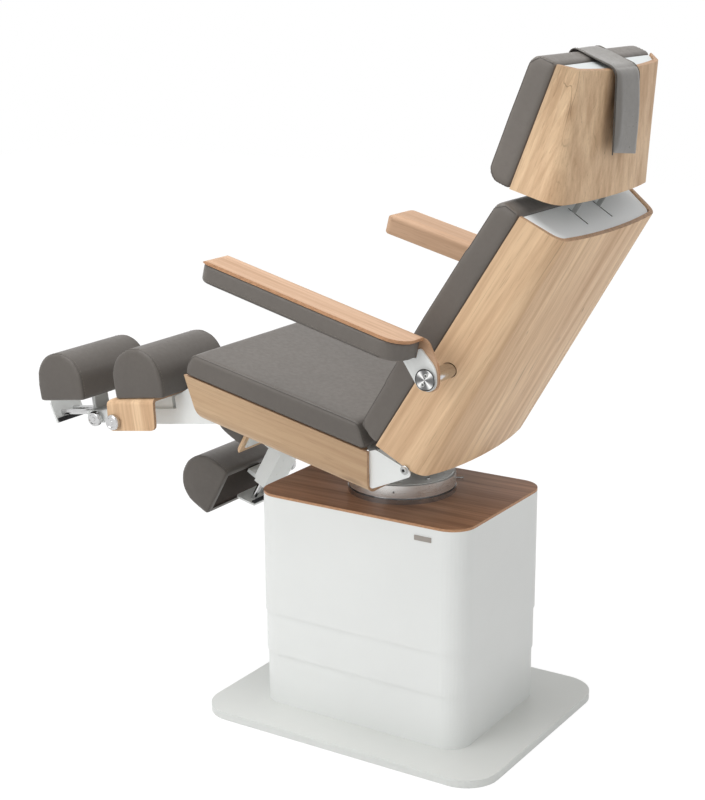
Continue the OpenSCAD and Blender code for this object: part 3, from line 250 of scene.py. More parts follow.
def wood(name, place, along, edge, tones=OAK, rough=0.5, seed=0.0, density=1.0, ply_tone=TAN):
    """Laminate whose grain runs along one axis of its place.

    edge(tree) gives the mask of the cut ply edges."""
    t = Tree(name, place)
    light, mid, dark, crack = tones

    def lay(cross, length, shift=0.0):
        s = [cross, cross, cross]
        s[along] = length
        return t.stretch(s, (shift + seed, shift * 1.7 + seed, shift * 0.6))

    zone = t.noise(lay(9.0, 0.5), 1.0, 2.0, 0.5)
    streak = t.noise(lay(34.0, 1.1, 3.1), 1.0, 5.0, 0.62, 0.1)
    fine = t.noise(lay(170.0, 5.0, 5.7), 1.0, 3.0, 0.6)
    pore = t.noise(lay(420.0, 16.0, 1.3), 1.0, 2.0, 0.5)
    figure = t.rings(lay(9.0, 0.5, 2.4), 2.4, 2.2, "XYZ"[along])
    c = t.mix(t.level(zone, 0.36, 0.64), light, mid)
    c = t.mix(t.math("MULTIPLY", t.level(streak, 0.42, 0.70), 0.80), c, dark)
    c = t.mix(t.math("MULTIPLY", t.level(figure, 0.60, 1.0), 0.16), c, dark)
    c = t.mix(t.math("MULTIPLY", t.level(fine, 0.5, 0.72), 0.34), c, dark)
    c = t.mix(t.math("MULTIPLY", t.level(pore, 0.60, 0.74), 0.35), c, shade(dark, 0.7))
    split = t.noise(lay(24.0 * density, 0.22, 8.2), 1.0, 1.0, 0.4)
    near = t.math("ABSOLUTE", t.math("SUBTRACT", split, 0.5))
    line = t.level(near, 0.0, 0.006, 1.0, 0.0)
    where = t.level(t.noise(lay(10.0, 3.0, 4.4), 1.0, 2.0, 0.5), 0.50, 0.62)
    cracks = t.math("MULTIPLY", line, where, True)
    c = t.mix(t.math("MULTIPLY", cracks, 0.55), c, crack)
    knots = t.cells(lay(6.5, 2.1, 6.6), 1.0)
    knot = t.level(knots, 0.035, 0.085, 1.0, 0.0)
    c = t.mix(t.math("MULTIPLY", knot, 0.5, True), c, shade(crack, 1.25))
    relief = t.math("ADD", t.math("MULTIPLY", fine, 0.5), t.math("MULTIPLY", cracks, -1.0))
    mask = edge(t)
    ply = t.noise(t.stretch((140, 140, 420)), 1.0, 3.0, 0.6)
    side = t.mix(t.level(ply, 0.35, 0.65), shade(ply_tone, 0.78), shade(ply_tone, 1.12))
    c = t.mix(mask, c, side)
    t.set("Base Color", c)
    t.set("Roughness", t.level(streak, 0.3, 0.7, rough - 0.06, rough + 0.08))
    t.bsdf.inputs["Specular IOR Level"].default_value = 0.28
    t.set("Normal", t.bump(relief, 0.12, 0.0005))
    return t.mat


def over(t, value, limit, width=0.04):
    """1 where value is over the limit."""
    return t.level(value, limit - width, limit + width)


def cut_ends(t):
    """Cut edges that face along the shell, and its rim in front."""
    ends = over(t, t.math("ABSOLUTE", t.part(t.normal, 2)), 0.72)
    front = over(t, t.math("MULTIPLY", t.part(t.normal, 1), -1.0), 0.72)
    return t.math("MAXIMUM", ends, front)


def seat_edges(t):
    """The seat shell's front and rear ends, and its rim beside the cushion."""
    ends = over(t, t.math("ABSOLUTE", t.part(t.normal, 1)), 0.72)
    rim = over(t, t.part(t.normal, 2), 0.72)
    near_top = over(t, t.part(t.point, 2), -0.004, 0.002)
    return t.math("MAXIMUM", ends, t.math("MULTIPLY", rim, near_top))


def arm_edges(t):
    """An armrest shell's edges, all but its outer face."""
    flat = over(t, t.math("ABSOLUTE", t.part(t.normal, 2)), 0.6)
    side = t.math("SUBTRACT", 1.0, flat)
    across = over(t, t.math("ABSOLUTE", t.part(t.normal, 0)), 0.75)
    wall = t.math("LESS_THAN", t.math("ABSOLUTE", t.part(t.point, 0)), 0.338)
    face = t.math("MULTIPLY", across, wall)
    return t.math("MULTIPLY", side, t.math("SUBTRACT", 1.0, face))


def rim_edges(t):
    """The rim of a flat board."""
    return t.math("SUBTRACT", 1.0, over(t, t.math("ABSOLUTE", t.part(t.normal, 2)), 0.6))


def saddle_edges(t):
    """A saddle's ends, and its underside."""
    ends = over(t, t.math("ABSOLUTE", t.part(t.normal, 1)), 0.5)
    low = over(t, t.math("MULTIPLY", t.part(t.normal, 2), -1.0), 0.72)
    deep = over(t, t.math("MULTIPLY", t.part(t.point, 2), -1.0), 0.10, 0.001)
    return t.math("MAXIMUM", ends, t.math("MULTIPLY", low, deep))


def paint(name, colour, rough=0.36, place=None, shade_over=None):
    """Powder coat, with painted shade, a dark colour, over a height of its place."""
    t = Tree(name, place)
    p = t.point
    cloud = t.noise(p, 3.0, 3.0, 0.5)
    c = t.mix(t.level(cloud, 0.3, 0.7), shade(colour, 0.975), shade(colour, 1.015))
    if shade_over is not None:
        # Painted shade: a dark colour over the height
        dark_shade_colour = t.mix(t.noise(p, 300.0, 3.0), linear(46, 40, 36), linear(66, 58, 52))
        c = t.mix(over(t, t.part(p, 2), shade_over, 0.0004), c, dark_shade_colour)
    t.set("Base Color", c)
    gloss = t.level(t.noise(p, 40.0, 4.0, 0.6), 0.3, 0.7, rough - 0.04, rough + 0.05)
    if shade_over is not None:
        shaded_part = over(t, t.part(p, 2), shade_over, 0.0004)
        gloss = t.math("MAXIMUM", gloss, t.math("MULTIPLY", shaded_part, 0.85))
    t.bsdf.inputs["Specular IOR Level"].default_value = 0.45 if shade_over is None else 0.2
    t.set("Roughness", gloss)
    t.set("Normal", t.bump(t.noise(p, 420.0, 2.0, 0.5), 0.05, 0.0004))
    return t.mat


def metal(name, colour, rough, lay=(1, 1, 1), scale=600.0, strength=0.04):
    t = Tree(name)
    p = t.stretch(lay)
    lines = t.noise(p, scale, 3.0, 0.6)
    smudge = t.noise(t.point, 18.0, 3.0, 0.6)
    t.set("Base Color", t.mix(t.level(lines, 0.3, 0.7), shade(colour, 0.9), shade(colour, 1.06)))
    t.bsdf.inputs["Metallic"].default_value = 1.0
    clean = t.level(lines, 0.3, 0.7, rough * 0.8, rough * 1.15)
    r = t.math("ADD", clean, t.level(smudge, 0.4, 0.8, 0.0, 0.05))
    t.set("Roughness", r)
    t.set("Normal", t.bump(lines, strength, 0.0002))
    return t.mat


def turned(name, colour, rough):
    """Faced metal with fine turning marks round X, and a painted reflection: bright wedges on a dark base
    colour.
    """
    t = Tree(name)
    x = t.add("ShaderNodeTexGradient", gradient_type="SPHERICAL")
    t.nt.links.new(t.stretch((0.0, 30.0, 30.0)), x.inputs["Vector"])
    marks = t.noise(x.outputs["Fac"], 120.0, 2.0)
    t.bsdf.inputs["Metallic"].default_value = 1.0
    yz = t.add("ShaderNodeCombineXYZ")
    t.put(yz.inputs[0], t.part(t.point, 1))
    t.put(yz.inputs[1], t.part(t.point, 2))
    wheel = t.add("ShaderNodeTexGradient", gradient_type="RADIAL")
    t.nt.links.new(yz.outputs[0], wheel.inputs["Vector"])
    # Painted reflection: four bright wedges round X, over a dark base colour that stands in for dark
    # reflections
    reflection_wedge = t.math("SINE", t.math("MULTIPLY", wheel.outputs["Fac"], 4 * math.pi))
    painted_glint = t.math("POWER", t.math("ABSOLUTE", reflection_wedge), 5.0)
    painted_dark_reflection = t.mix(t.level(marks, 0.35, 0.65), shade(colour, 0.20), shade(colour, 0.42))
    t.set("Base Color", t.mix(painted_glint, painted_dark_reflection, (0.95, 0.95, 0.94, 1)))
    t.set("Roughness", t.level(marks, 0.3, 0.7, rough, rough + 0.08))
    return t.mat


def rubber(name, colour):
    t = Tree(name)
    p = t.point
    t.set("Base Color", t.mix(t.noise(p, 60.0, 4.0), shade(colour, 0.8), shade(colour, 1.4)))
    t.set("Roughness", t.level(t.noise(p, 200.0), 0.3, 0.7, 0.62, 0.8))
    t.set("Normal", t.bump(t.noise(p, 900.0, 2.0), 0.12, 0.0003))
    return t.mat


LEATHER = leather("leatherette")
# Copies of the leatherette as painted shade and painted light: darker for the seat and the leg pads, lighter
# for the headrest
SEAT_LEATHER_SHADED = leather("leatherette_seat_painted_shade", shade(TAUPE, 0.92))
PAD_LEATHER_SHADED = leather("leatherette_pads_painted_shade", shade(TAUPE, 0.80))
HEAD_LEATHER_LIT = leather("leatherette_head_painted_light", shade(TAUPE, 1.14))
STRAP_LEATHER = leather("strap_leatherette", linear(124, 120, 115), 0.32)
# Darker than the covers: painted shade in the seams' creases and along the strap's folded edges
PIPING = leather("seam_fold_painted_shade", shade(TAUPE, 0.62), 0.5)
THREAD = thread("sewing_thread", linear(128, 121, 113))
WHITE = paint("white_powder_coat", linear(233, 235, 233), 0.40)
CASTING = paint("white_casting", linear(228, 230, 228), 0.34)
PALE = paint("pale_grey_panel", linear(214, 218, 218), 0.46)
# Lighter than the white powder coat: painted light on the back's end plates, under the headrest's shadow
PANEL_LIT = paint("white_panel_painted_light", linear(244, 246, 246), 0.50)
# A little darker than the white powder coat: painted shade of the chair over the base plate
BASE = paint("base_powder_coat_painted_shade", linear(221, 223, 220), 0.42)
CHROME = metal("polished_chrome", (0.60, 0.60, 0.60, 1), 0.12, (1, 1, 1), 300.0, 0.02)
BRUSHED = metal("brushed_ring", (0.72, 0.71, 0.69, 1), 0.30, (0.02, 0.02, 1.0), 2600.0, 0.10)
BARS = metal("bright_bar", (0.50, 0.50, 0.49, 1), 0.16, (1.0, 1.0, 0.04), 1800.0, 0.06)
FRAME = metal("zinc_frame", (0.46, 0.46, 0.45, 1), 0.38, (1, 1, 1), 160.0, 0.08)
FLANGE = metal("turned_flange", (0.42, 0.42, 0.42, 1), 0.22, (0.02, 0.02, 1.0), 3000.0, 0.08)
FACED = turned("faced_chrome", (0.52, 0.52, 0.52, 1), 0.20)
BOLT = metal("steel_bolt", (0.48, 0.48, 0.47, 1), 0.28, (1, 1, 1), 900.0, 0.08)
BLACK = rubber("black_rubber", linear(34, 34, 35))
# A near-black colour painted in as shade: in the screws' sockets, the ring round the armrest shafts and the
# slits of the back's top plate
DARK_SHADE_FILL = rubber("painted_shade_fill", linear(22, 21, 20))
PLASTIC = rubber("black_plastic", linear(40, 40, 42))
# Painted shade for the faces inside the foot pads' recesses
PAD_RECESS_SHADE = rubber("pad_recess_painted_shade", linear(74, 64, 58))
BADGE = metal("badge_steel", (0.34, 0.31, 0.28, 1), 0.34, (0.05, 0.05, 1.0), 1500.0, 0.08)

# The seat's oak is darker, partly for its darker ply and partly as painted shade under the armrests; the
# back's oak is lighter, painted light
OAK_SEAT_DARK_PLY_AND_SHADE = wood("oak_seat_dark_ply_and_painted_shade", SEAT, 1, seat_edges, tuple(shade(c, 0.72) for c in OAK), seed=1.7)
OAK_BACK_LIT = wood("oak_back_painted_light", BACK, 2, cut_ends, tuple(shade(c, 1.04) for c in OAK), seed=0.4)
OAK_HEAD = wood("oak_head", HEAD, 2, cut_ends, seed=5.2)
ARM_TONES = (linear(210, 174, 144), linear(196, 160, 130), linear(172, 136, 106), OAK[3])
OAK_ARM = wood("oak_arm", ARM, 1, arm_edges, ARM_TONES, seed=7.1, density=1.6, ply_tone=EDGE)
OAK_TOP = wood("oak_top", ROW, 1, rim_edges, TOP, 0.46, seed=3.3, ply_tone=EDGE)

looks = {
    WHITE: "lower_shroud middle_shroud upper_shroud left_leg_beam right_leg_beam left_foot_plate "
    "right_foot_plate left_arm_plate right_arm_plate seat_end_frame",
    CASTING: "tilt_bracket",
    PALE: "headrest_end_plates",
    PANEL_LIT: "back_end_plates",
    BASE: "base_plate",
    OAK_SEAT_DARK_PLY_AND_SHADE: "seat_shell",
    OAK_BACK_LIT: "back_shell",
    OAK_HEAD: "headrest_shell",
    OAK_ARM: "left_arm_shell right_arm_shell",
    OAK_TOP: "pedestal_top",
    LEATHER: "seat_cushion back_cushion headrest_cushion neck_roll left_arm_pad right_arm_pad left_calf_pad "
    "right_calf_pad left_foot_pad right_foot_pad",
    STRAP_LEATHER: "neck_strap",
    CHROME: "arm_shafts left_rods right_rods left_rod_knob right_rod_knob left_slide_knob right_slide_knob",
    BRUSHED: "turntable_ring",
    FLANGE: "turntable_base",
    BARS: "headrest_bars tilt_axle recline_pins leg_axle swivel_lock_pin",
    FRAME: "lift_tube_lower lift_tube_middle pedestal_frame seat_frame tilt_drive back_frame headrest_frame",
    BADGE: "badge_plate",
    BLACK: "left_foot_strip right_foot_strip",
    PLASTIC: "lift_motor",
}
# Over this height in its leg support's place, an inner box is painted dark as shade in the foot pad's recess
SLIDE_SHADE_HEIGHT = -0.0335
for side in SIDE:
    saddle_oak = wood(f"oak_saddle_{side}", leg_frame(side), 2, saddle_edges, seed=2.0 + SIDE[side])
    slide_paint = paint(f"slide_paint_{side}", linear(233, 235, 233), 0.38, leg_frame(side), SLIDE_SHADE_HEIGHT)
    looks[saddle_oak] = f"{side}_leg_saddle"
    looks[slide_paint] = f"{side}_foot_slide"
for material, names in looks.items():
    for name in names.split():
        mesh = nodes[name].data
        mesh.materials.clear()
        mesh.materials.append(material)


# Making pieces
def piece(name, mesh, body, place=ROW, material=None, smooth=True):
    """A new object of the mesh that rides on a body."""
    o = bpy.data.objects.new(name, mesh)
    scene.collection.objects.link(o)
    o.matrix_world = place
    if material is not None:
        mesh.materials.clear()
        mesh.materials.append(material)
    if smooth:
        mesh.polygons.foreach_set("use_smooth", [True] * len(mesh.polygons))
    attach(o, body)
    return o


def from_bmesh(name, bm):
    mesh = bpy.data.meshes.new(name)
    bm.to_mesh(mesh)
    bm.free()
    return mesh


def evaluated(o):
    dg = bpy.context.evaluated_depsgraph_get()
    return bpy.data.meshes.new_from_object(o.evaluated_get(dg))


def points(mesh):
    co = np.zeros(len(mesh.vertices) * 3)
    mesh.vertices.foreach_get("co", co)
    return co.reshape(-1, 3)


def put_points(mesh, co):
    mesh.vertices.foreach_set("co", np.ascontiguousarray(co, np.float32).ravel())
    mesh.update()


def normals(mesh):
    n = np.zeros(len(mesh.vertices) * 3)
    mesh.vertices.foreach_get("normal", n)
    return n.reshape(-1, 3)


def outline_solid(name, outline, x0, x1):
    """Closed solid of an outline of (y, z) points, from x0 to x1."""
    bm = bmesh.new()
    rings = [[bm.verts.new((x, y, z)) for y, z in outline] for x in (x0, x1)]
    n = len(outline)
    for i in range(n):
        j = (i + 1) % n
        bm.faces.new((rings[0][i], rings[0][j], rings[1][j], rings[1][i]))
    bm.faces.new(rings[0][::-1])
    bm.faces.new(rings[1])
    bmesh.ops.recalc_face_normals(bm, faces=bm.faces)
    return from_bmesh(name, bm)


CLOTH_FRAMES = 20


class Cushion:
    """A soft piece that starts from a solid in its own place and swells under pressure."""

    def __init__(self, name, place, body, mesh, voxel=0.006, shrink=0.002, cap=0.006, proud=0.0025,
                 flat=(), pressure=4.0, fill=0.8, material=None, relax=2, node=None):
        self.__dict__.update(name=name, place=place, body=body, voxel=voxel, cap=cap, proud=proud, node=node,
                             flat=flat, pressure=pressure, fill=fill, material=material, relax=relax)
        self.walls = self.planes(mesh)
        o = bpy.data.objects.new(name + "_form", mesh)
        scene.collection.objects.link(o)
        m = o.modifiers.new("voxels", "REMESH")
        m.mode, m.voxel_size, m.use_smooth_shade = "VOXEL", voxel, True
        smooth = o.modifiers.new("even", "SMOOTH")
        smooth.factor, smooth.iterations = 0.5, relax
        made = evaluated(o)
        o.modifiers.clear()
        o.data = made
        co, n = points(made), normals(made)
        self.start = co - n * shrink
        put_points(made, self.start)
        self.form = o
        c = o.modifiers.new("cloth", "CLOTH")
        s = c.settings
        s.quality, s.mass = 4, 0.35
        s.tension_stiffness = s.compression_stiffness = 18
        s.shear_stiffness, s.bending_stiffness = 8, 0.6
        s.use_pressure, s.uniform_pressure_force = True, pressure
        s.effector_weights.gravity = 0
        c.collision_settings.use_collision = False
        c.collision_settings.use_self_collision = False
        c.point_cache.frame_start, c.point_cache.frame_end = 1, CLOTH_FRAMES

    @staticmethod
    def even(mesh, values, rounds=10):
        """The values spread over the mesh's edges, so that no wrinkle is left in them."""
        ends = np.zeros(len(mesh.edges) * 2, dtype=int)
        mesh.edges.foreach_get("vertices", ends)
        a, b = ends[0::2], ends[1::2]
        count = np.maximum(1, np.bincount(ends, minlength=len(values)))
        for _ in range(rounds):
            near = np.bincount(a, values[b], len(values)) + np.bincount(b, values[a], len(values))
            values = 0.4 * values + 0.6 * near / count
        return values

    @staticmethod
    def planes(mesh):
        found = []
        for f in mesh.polygons:
            n = Vector(f.normal)
            if n.length < 0.5:
                continue
            d = n.dot(mesh.vertices[f.vertices[0]].co)
            if not any((n - m).length < 0.02 and abs(d - e) < 0.0004 for m, e in found):
                found.append((n.copy(), d))
        return found

    def finish(self):
        o = self.form
        n = normals(o.data)
        swell = ((points(evaluated(o)) - self.start) * n).sum(axis=1)
        swell = self.even(o.data, np.clip(swell, 0.0, self.cap)) * 0.5
        o.modifiers.clear()
        co = self.start + n * (self.cap * 0.45 + swell)[:, None]
        for n, d in self.walls:
            n = np.array(n)
            extra = 0.0 if any(np.dot(n, f) > 0.9 for f in self.flat) else self.proud
            out = np.maximum(0.0, co @ n - (d + extra))
            co -= out[:, None] * n[None, :]
        put_points(o.data, co)
        sub = o.modifiers.new("fine", "SUBSURF")
        sub.levels = sub.render_levels = 1
        mesh = evaluated(o)
        bpy.data.objects.remove(o, do_unlink=True)
        p = piece(self.name, mesh, self.body, self.place, self.material or LEATHER)
        if self.node:
            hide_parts(self.node)
        self.piece = p
        corners = [v.co[:] for v in mesh.vertices]
        self.tree = BVHTree.FromPolygons(corners, [f.vertices[:] for f in mesh.polygons])
        return p


def local_copy(node, place):
    """A node's mesh in the coordinates of a place, with its corners joined."""
    mesh = nodes[node].data.copy()
    mesh.transform(place.inverted())
    mesh.update()
    bm = bmesh.new()
    bm.from_mesh(mesh)
    bmesh.ops.remove_doubles(bm, verts=bm.verts, dist=1e-6)
    bm.to_mesh(mesh)
    bm.free()
    return mesh


def pad_top(width, height, base, steps):
    """The half-round top of a pad, as (y, z) points round its middle."""
    half = width / 2
    middle = base + height - half
    return [(half * math.cos(a), middle + half * math.sin(a)) for a in np.linspace(0, math.pi, steps)]


def pad_outline(width, height, base):
    """Half-round top on straight sides, as (y, z) points round the middle."""
    return pad_top(width, height, base, 33) + [(-width / 2, base), (width / 2, base)]


PAD_L = 0.245
CALF = {"left": 0.180, "right": 0.165}
FOOT = {"left": 0.422, "right": 0.393}
CALF_W, CALF_H, CALF_BASE = 0.140, 0.114, -0.028
FOOT_W, FOOT_H, FOOT_BASE = 0.135, 0.113, -0.0315


def pads(side):
    """Each pad's kind, its place along the leg support, its width, height and lowest height."""
    yield "calf", CALF[side], CALF_W, CALF_H, CALF_BASE
    yield "foot", FOOT[side], FOOT_W, FOOT_H, FOOT_BASE


cushions = {}


def cushion(name, *args, **values):
    cushions[name] = Cushion(name, *args, **values)


UP, DOWN, REAR = (0, 0, 1), (0, 0, -1), (0, 1, 0)
cushion("seat_cushion_cover", SEAT, "seat", local_copy("seat_cushion", SEAT), cap=0.006, proud=0.0018,
        flat=(DOWN, (0, 0.71, 0.71)), voxel=0.007, node="seat_cushion", material=SEAT_LEATHER_SHADED)
cushion("back_cushion_cover", BACK, "back", local_copy("back_cushion", BACK), cap=0.007, proud=0.0018,
        flat=(REAR, DOWN, (0, -0.3, -0.95)), voxel=0.007, node="back_cushion")
cushion("headrest_cushion_cover", HEAD, "headrest", local_copy("headrest_cushion", HEAD), cap=0.006,
        proud=0.0015, flat=(REAR,), node="headrest_cushion", material=HEAD_LEATHER_LIT)
cushion("neck_roll_cover", HEAD, "headrest", local_copy("neck_roll", HEAD), cap=0.006, proud=0.002,
        flat=(REAR,), node="neck_roll", fill=0.7)
for side in SIDE:
    cushion(f"{side}_arm_pad_cover", ARM, f"arm_{side}", local_copy(f"{side}_arm_pad", ARM), cap=0.006,
            proud=0.0015, flat=(UP, (-SIDE[side], 0, 0)), voxel=0.005, node=f"{side}_arm_pad")
    for kind, where, width, height, base in pads(side):
        outline = [(y - where, z) for y, z in pad_outline(width, height, base)]
        form = outline_solid(f"{side}_{kind}_form", outline, -PAD_L / 2, PAD_L / 2)
        carrier = {"calf": "leg", "foot": "foot"}[kind]
        cushion(f"{side}_{kind}_pad_cover", leg_frame(side), f"{carrier}_{side}", form, cap=0.008,
                proud=0.004, flat=(DOWN,), voxel=0.0055, node=f"{side}_{kind}_pad", material=PAD_LEATHER_SHADED)

for number in range(1, CLOTH_FRAMES + 1):
    scene.frame_set(number)
for c in cushions.values():
    c.finish()
scene.frame_set(1)

# The foot pads' recesses, where the bearer plates lie, their faces painted dark as shade
RECESS_L, RECESS_W, RECESS_T = 0.217, 0.107, 0.020
BESIDE = 0.0003
for side in SIDE:
    pad = cushions[f"{side}_foot_pad_cover"].piece
    bm = bmesh.new()
    bmesh.ops.create_cube(bm, size=1.0)
    cutter = bpy.data.objects.new("cutter", from_bmesh("cutter", bm))
    scene.collection.objects.link(cutter)
    middle = Matrix.Translation((0, -FOOT[side], FOOT_BASE))
    size = Matrix.Diagonal((RECESS_L, RECESS_W, RECESS_T, 1))
    cutter.matrix_world = leg_frame(side) @ middle @ size
    m = pad.modifiers.new("recess", "BOOLEAN")
    m.operation, m.object, m.solver = "DIFFERENCE", cutter, "EXACT"
    bpy.context.view_layer.update()
    cut = evaluated(pad)
    pad.modifiers.clear()
    pad.data = cut
    # The recess's faces take the dark colour: painted shade
    cut.materials.append(PAD_RECESS_SHADE)
    for f in cut.polygons:
        x, y, z = f.center
        within = abs(x) < RECESS_L / 2 + BESIDE and abs(y + FOOT[side]) < RECESS_W / 2 + BESIDE
        if within and z < FOOT_BASE + RECESS_T / 2 + BESIDE / 3:
            f.material_index = len(cut.materials) - 1
    bpy.data.objects.remove(cutter, do_unlink=True)


# Seams
def smooth_path(path, step):
    """The path again, with points a step apart."""
    out = []
    for a, b in zip(path, path[1:]):
        a, b = Vector(a), Vector(b)
        n = max(1, int((b - a).length / step))
        out += [a.lerp(b, i / n) for i in range(n)]
    return out + [Vector(path[-1])]


def tube(bm, line, up, radius, sides=6):
    """A tube round the line; up holds a normal for each point."""
    rings = []
    for i, p in enumerate(line):
        a, b = line[max(0, i - 1)], line[min(len(line) - 1, i + 1)]
        d = (b - a).normalized()
        u = (up[i] - d * up[i].dot(d)).normalized()
        w = d.cross(u)
        rings.append([bm.verts.new(p + radius * (math.cos(t) * u + math.sin(t) * w))
                      for t in (2 * math.pi * k / sides for k in range(sides))])
    for r, s in zip(rings, rings[1:]):
        for k in range(sides):
            bm.faces.new((r[k], r[(k + 1) % sides], s[(k + 1) % sides], s[k]))
    bm.faces.new(rings[0][::-1])
    bm.faces.new(rings[-1])


def seam(name, on, path, stitches, radius=0.0011, sunk=0.0004):
    """A sewn fold along the path, laid on a cushion's surface, with a row of stitches shifted beside it."""
    c = cushions[on]

    def lay(where):
        hit, n, _, _ = c.tree.find_nearest(where)
        return hit, n

    pts = smooth_path(path, 0.006)
    line, up = zip(*[lay(p) for p in pts])
    line = [p + n * (radius * 0.35 - sunk) for p, n in zip(line, up)]
    bm = bmesh.new()
    tube(bm, line, up, radius)
    piece(name, from_bmesh(name, bm), c.body, c.place, PIPING)
    shift, pitch = Vector(stitches), 0.0062
    bm = bmesh.new()
    row = smooth_path([Vector(p) + shift for p in path], pitch)
    for a, b in zip(row, row[1:]):
        q, r = a.lerp(b, 0.14), a.lerp(b, 0.86)
        (q, nq), (r, nr) = lay(q), lay(r)
        if (r - q).length < pitch * 0.3:
            continue
        mid = (q + r) / 2 + (nq + nr) * 0.00022
        tube(bm, [q - nq * 0.0003, mid, r - nr * 0.0003], [nq, nq, nr], 0.00042, 5)
    bm.normal_update()
    piece(name + "_stitches", from_bmesh(name + "_stitches", bm), c.body, c.place, THREAD)


# Length of the seat, half width of the chair, thickness of the cushions, and how far the seams lie in
SEAT_L, HALF, CT = 0.497, 0.262, 0.054
HEAD_HALF = 0.226
SEAM_IN = 0.003
STITCH_IN = 0.0045
for tag, s in SIDE.items():
    x = s * (HALF - SEAM_IN)
    top = CT - 0.002
    seam(f"seat_seam_{tag}", "seat_cushion_cover",
         [(x, -SEAT_L * 0.994, 0.012), (x, -SEAT_L * 0.984, top - 0.014), (x, -SEAT_L * 0.955, top),
          (x, -CT * 0.80, top), (x, -CT * 0.52, top - 0.010), (x, -CT * 0.12, 0.010)],
         stitches=(-s * STITCH_IN, 0, 0))
    seam(f"back_seam_{tag}", "back_cushion_cover",
         [(x, -0.010, 0.600), (x, -CT + 0.018, 0.600), (x, -CT, 0.582), (x, -CT * 1.06, 0.45),
          (x, -CT * 1.07, 0.30), (x, -CT * 1.05, 0.15), (x, -CT * 1.0, 0.030), (x, -CT + 0.014, 0.012)],
         stitches=(-s * STITCH_IN, 0, 0))
    hx = s * (HEAD_HALF - SEAM_IN)
    seam(f"headrest_seam_{tag}", "headrest_cushion_cover",
         [(hx, -0.008, 0.255), (hx, -0.038, 0.255), (hx, -0.053, 0.238), (hx, -0.0548, 0.12),
          (hx, -0.053, 0.022), (hx, -0.036, 0.002), (hx, -0.010, 0.002)],
         stitches=(-s * 0.0042, 0, 0))
for side in SIDE:
    for kind, where, width, height, base in pads(side):
        arc = [(y - where, z) for y, z in pad_top(width, height, base, 25)]
        arc = [(arc[0][0], base + 0.003)] + arc + [(arc[-1][0], base + 0.003)]
        for s in (1, -1):
            x = s * (PAD_L / 2 - 0.004)
            seam(f"{side}_{kind}_seam_{'ab'[s > 0]}", f"{side}_{kind}_pad_cover", [(x, y, z) for y, z in arc],
                 stitches=(-s * 0.0048, 0, 0))
    s = SIDE[side]
    low = 0.0796 - 0.007 - 0.039 + 0.002
    seam(f"{side}_arm_seam", f"{side}_arm_pad_cover",
         [(s * 0.418, y, low) for y in np.linspace(-0.505, -0.075, 40)], stitches=(0, 0, 0.0045))

# Strap
ROLL_Z, ROLL_R, STRAP_T = 0.077, 0.034, 0.003
HEAD_L, HEAD_REAR = 0.2575, 0.049
head_top, head_rear = HEAD_L + 0.0005, HEAD_REAR + STRAP_T
BEND_STEPS = 12


def rounded_line(pts, step=0.004):
    """A line through (y, z, radius) points with round corners."""
    out = [Vector(pts[0][:2])]
    for a, b, c in zip(pts, pts[1:], pts[2:]):
        p, q, r = Vector(a[:2]), Vector(b[:2]), Vector(c[:2])
        u, v = (p - q).normalized(), (r - q).normalized()
        half = u.angle(v) / 2
        centre = q + (u + v).normalized() * b[2] / math.sin(half)
        s, e = q + u * b[2] / math.tan(half), q + v * b[2] / math.tan(half)
        a0, a1 = (math.atan2(*(k - centre).yx) for k in (s, e))
        turn = (a1 - a0 + math.pi) % (2 * math.pi) - math.pi
        angles = [a0 + turn * i / BEND_STEPS for i in range(BEND_STEPS + 1)]
        out += [centre + b[2] * Vector((math.cos(a), math.sin(a))) for a in angles]
    out.append(Vector(pts[-1][:2]))
    fine = []
    for p, q in zip(out, out[1:]):
        n = max(1, int((q - p).length / step))
        fine += [p.lerp(q, i / n) for i in range(n)]
    return fine + [out[-1]]


drop, lean = HEAD_L * 0.585, math.tan(math.radians(22.5))
strap_line = rounded_line([
    (-0.0575, ROLL_Z + ROLL_R + 0.002, 0), (-0.0575, head_top + 0.0015, 0.014),
    (head_rear + 0.0045, head_top + 0.0055, 0.026), (head_rear + 0.0015 + drop * lean, head_top - drop, 0),
])
STRAP_X, STRAP_W = 0.022, 0.112
strap_length = sum((b - a).length for a, b in zip(strap_line, strap_line[1:]))


def slant(t):
    """How far the strap lies to one side, t along it."""
    ease = min(1.0, max(0.0, (t - 0.20) / 0.42))
    return -0.036 * (1 - ease * ease * (3 - 2 * ease))


def filling(t):
    """How full the strap's weighted end is, t along the strap."""
    if t <= 0.60:
        return 0.0
    return max(0.0, math.sin(math.pi * min(1.0, (t - 0.60) / 0.395))) ** 0.5


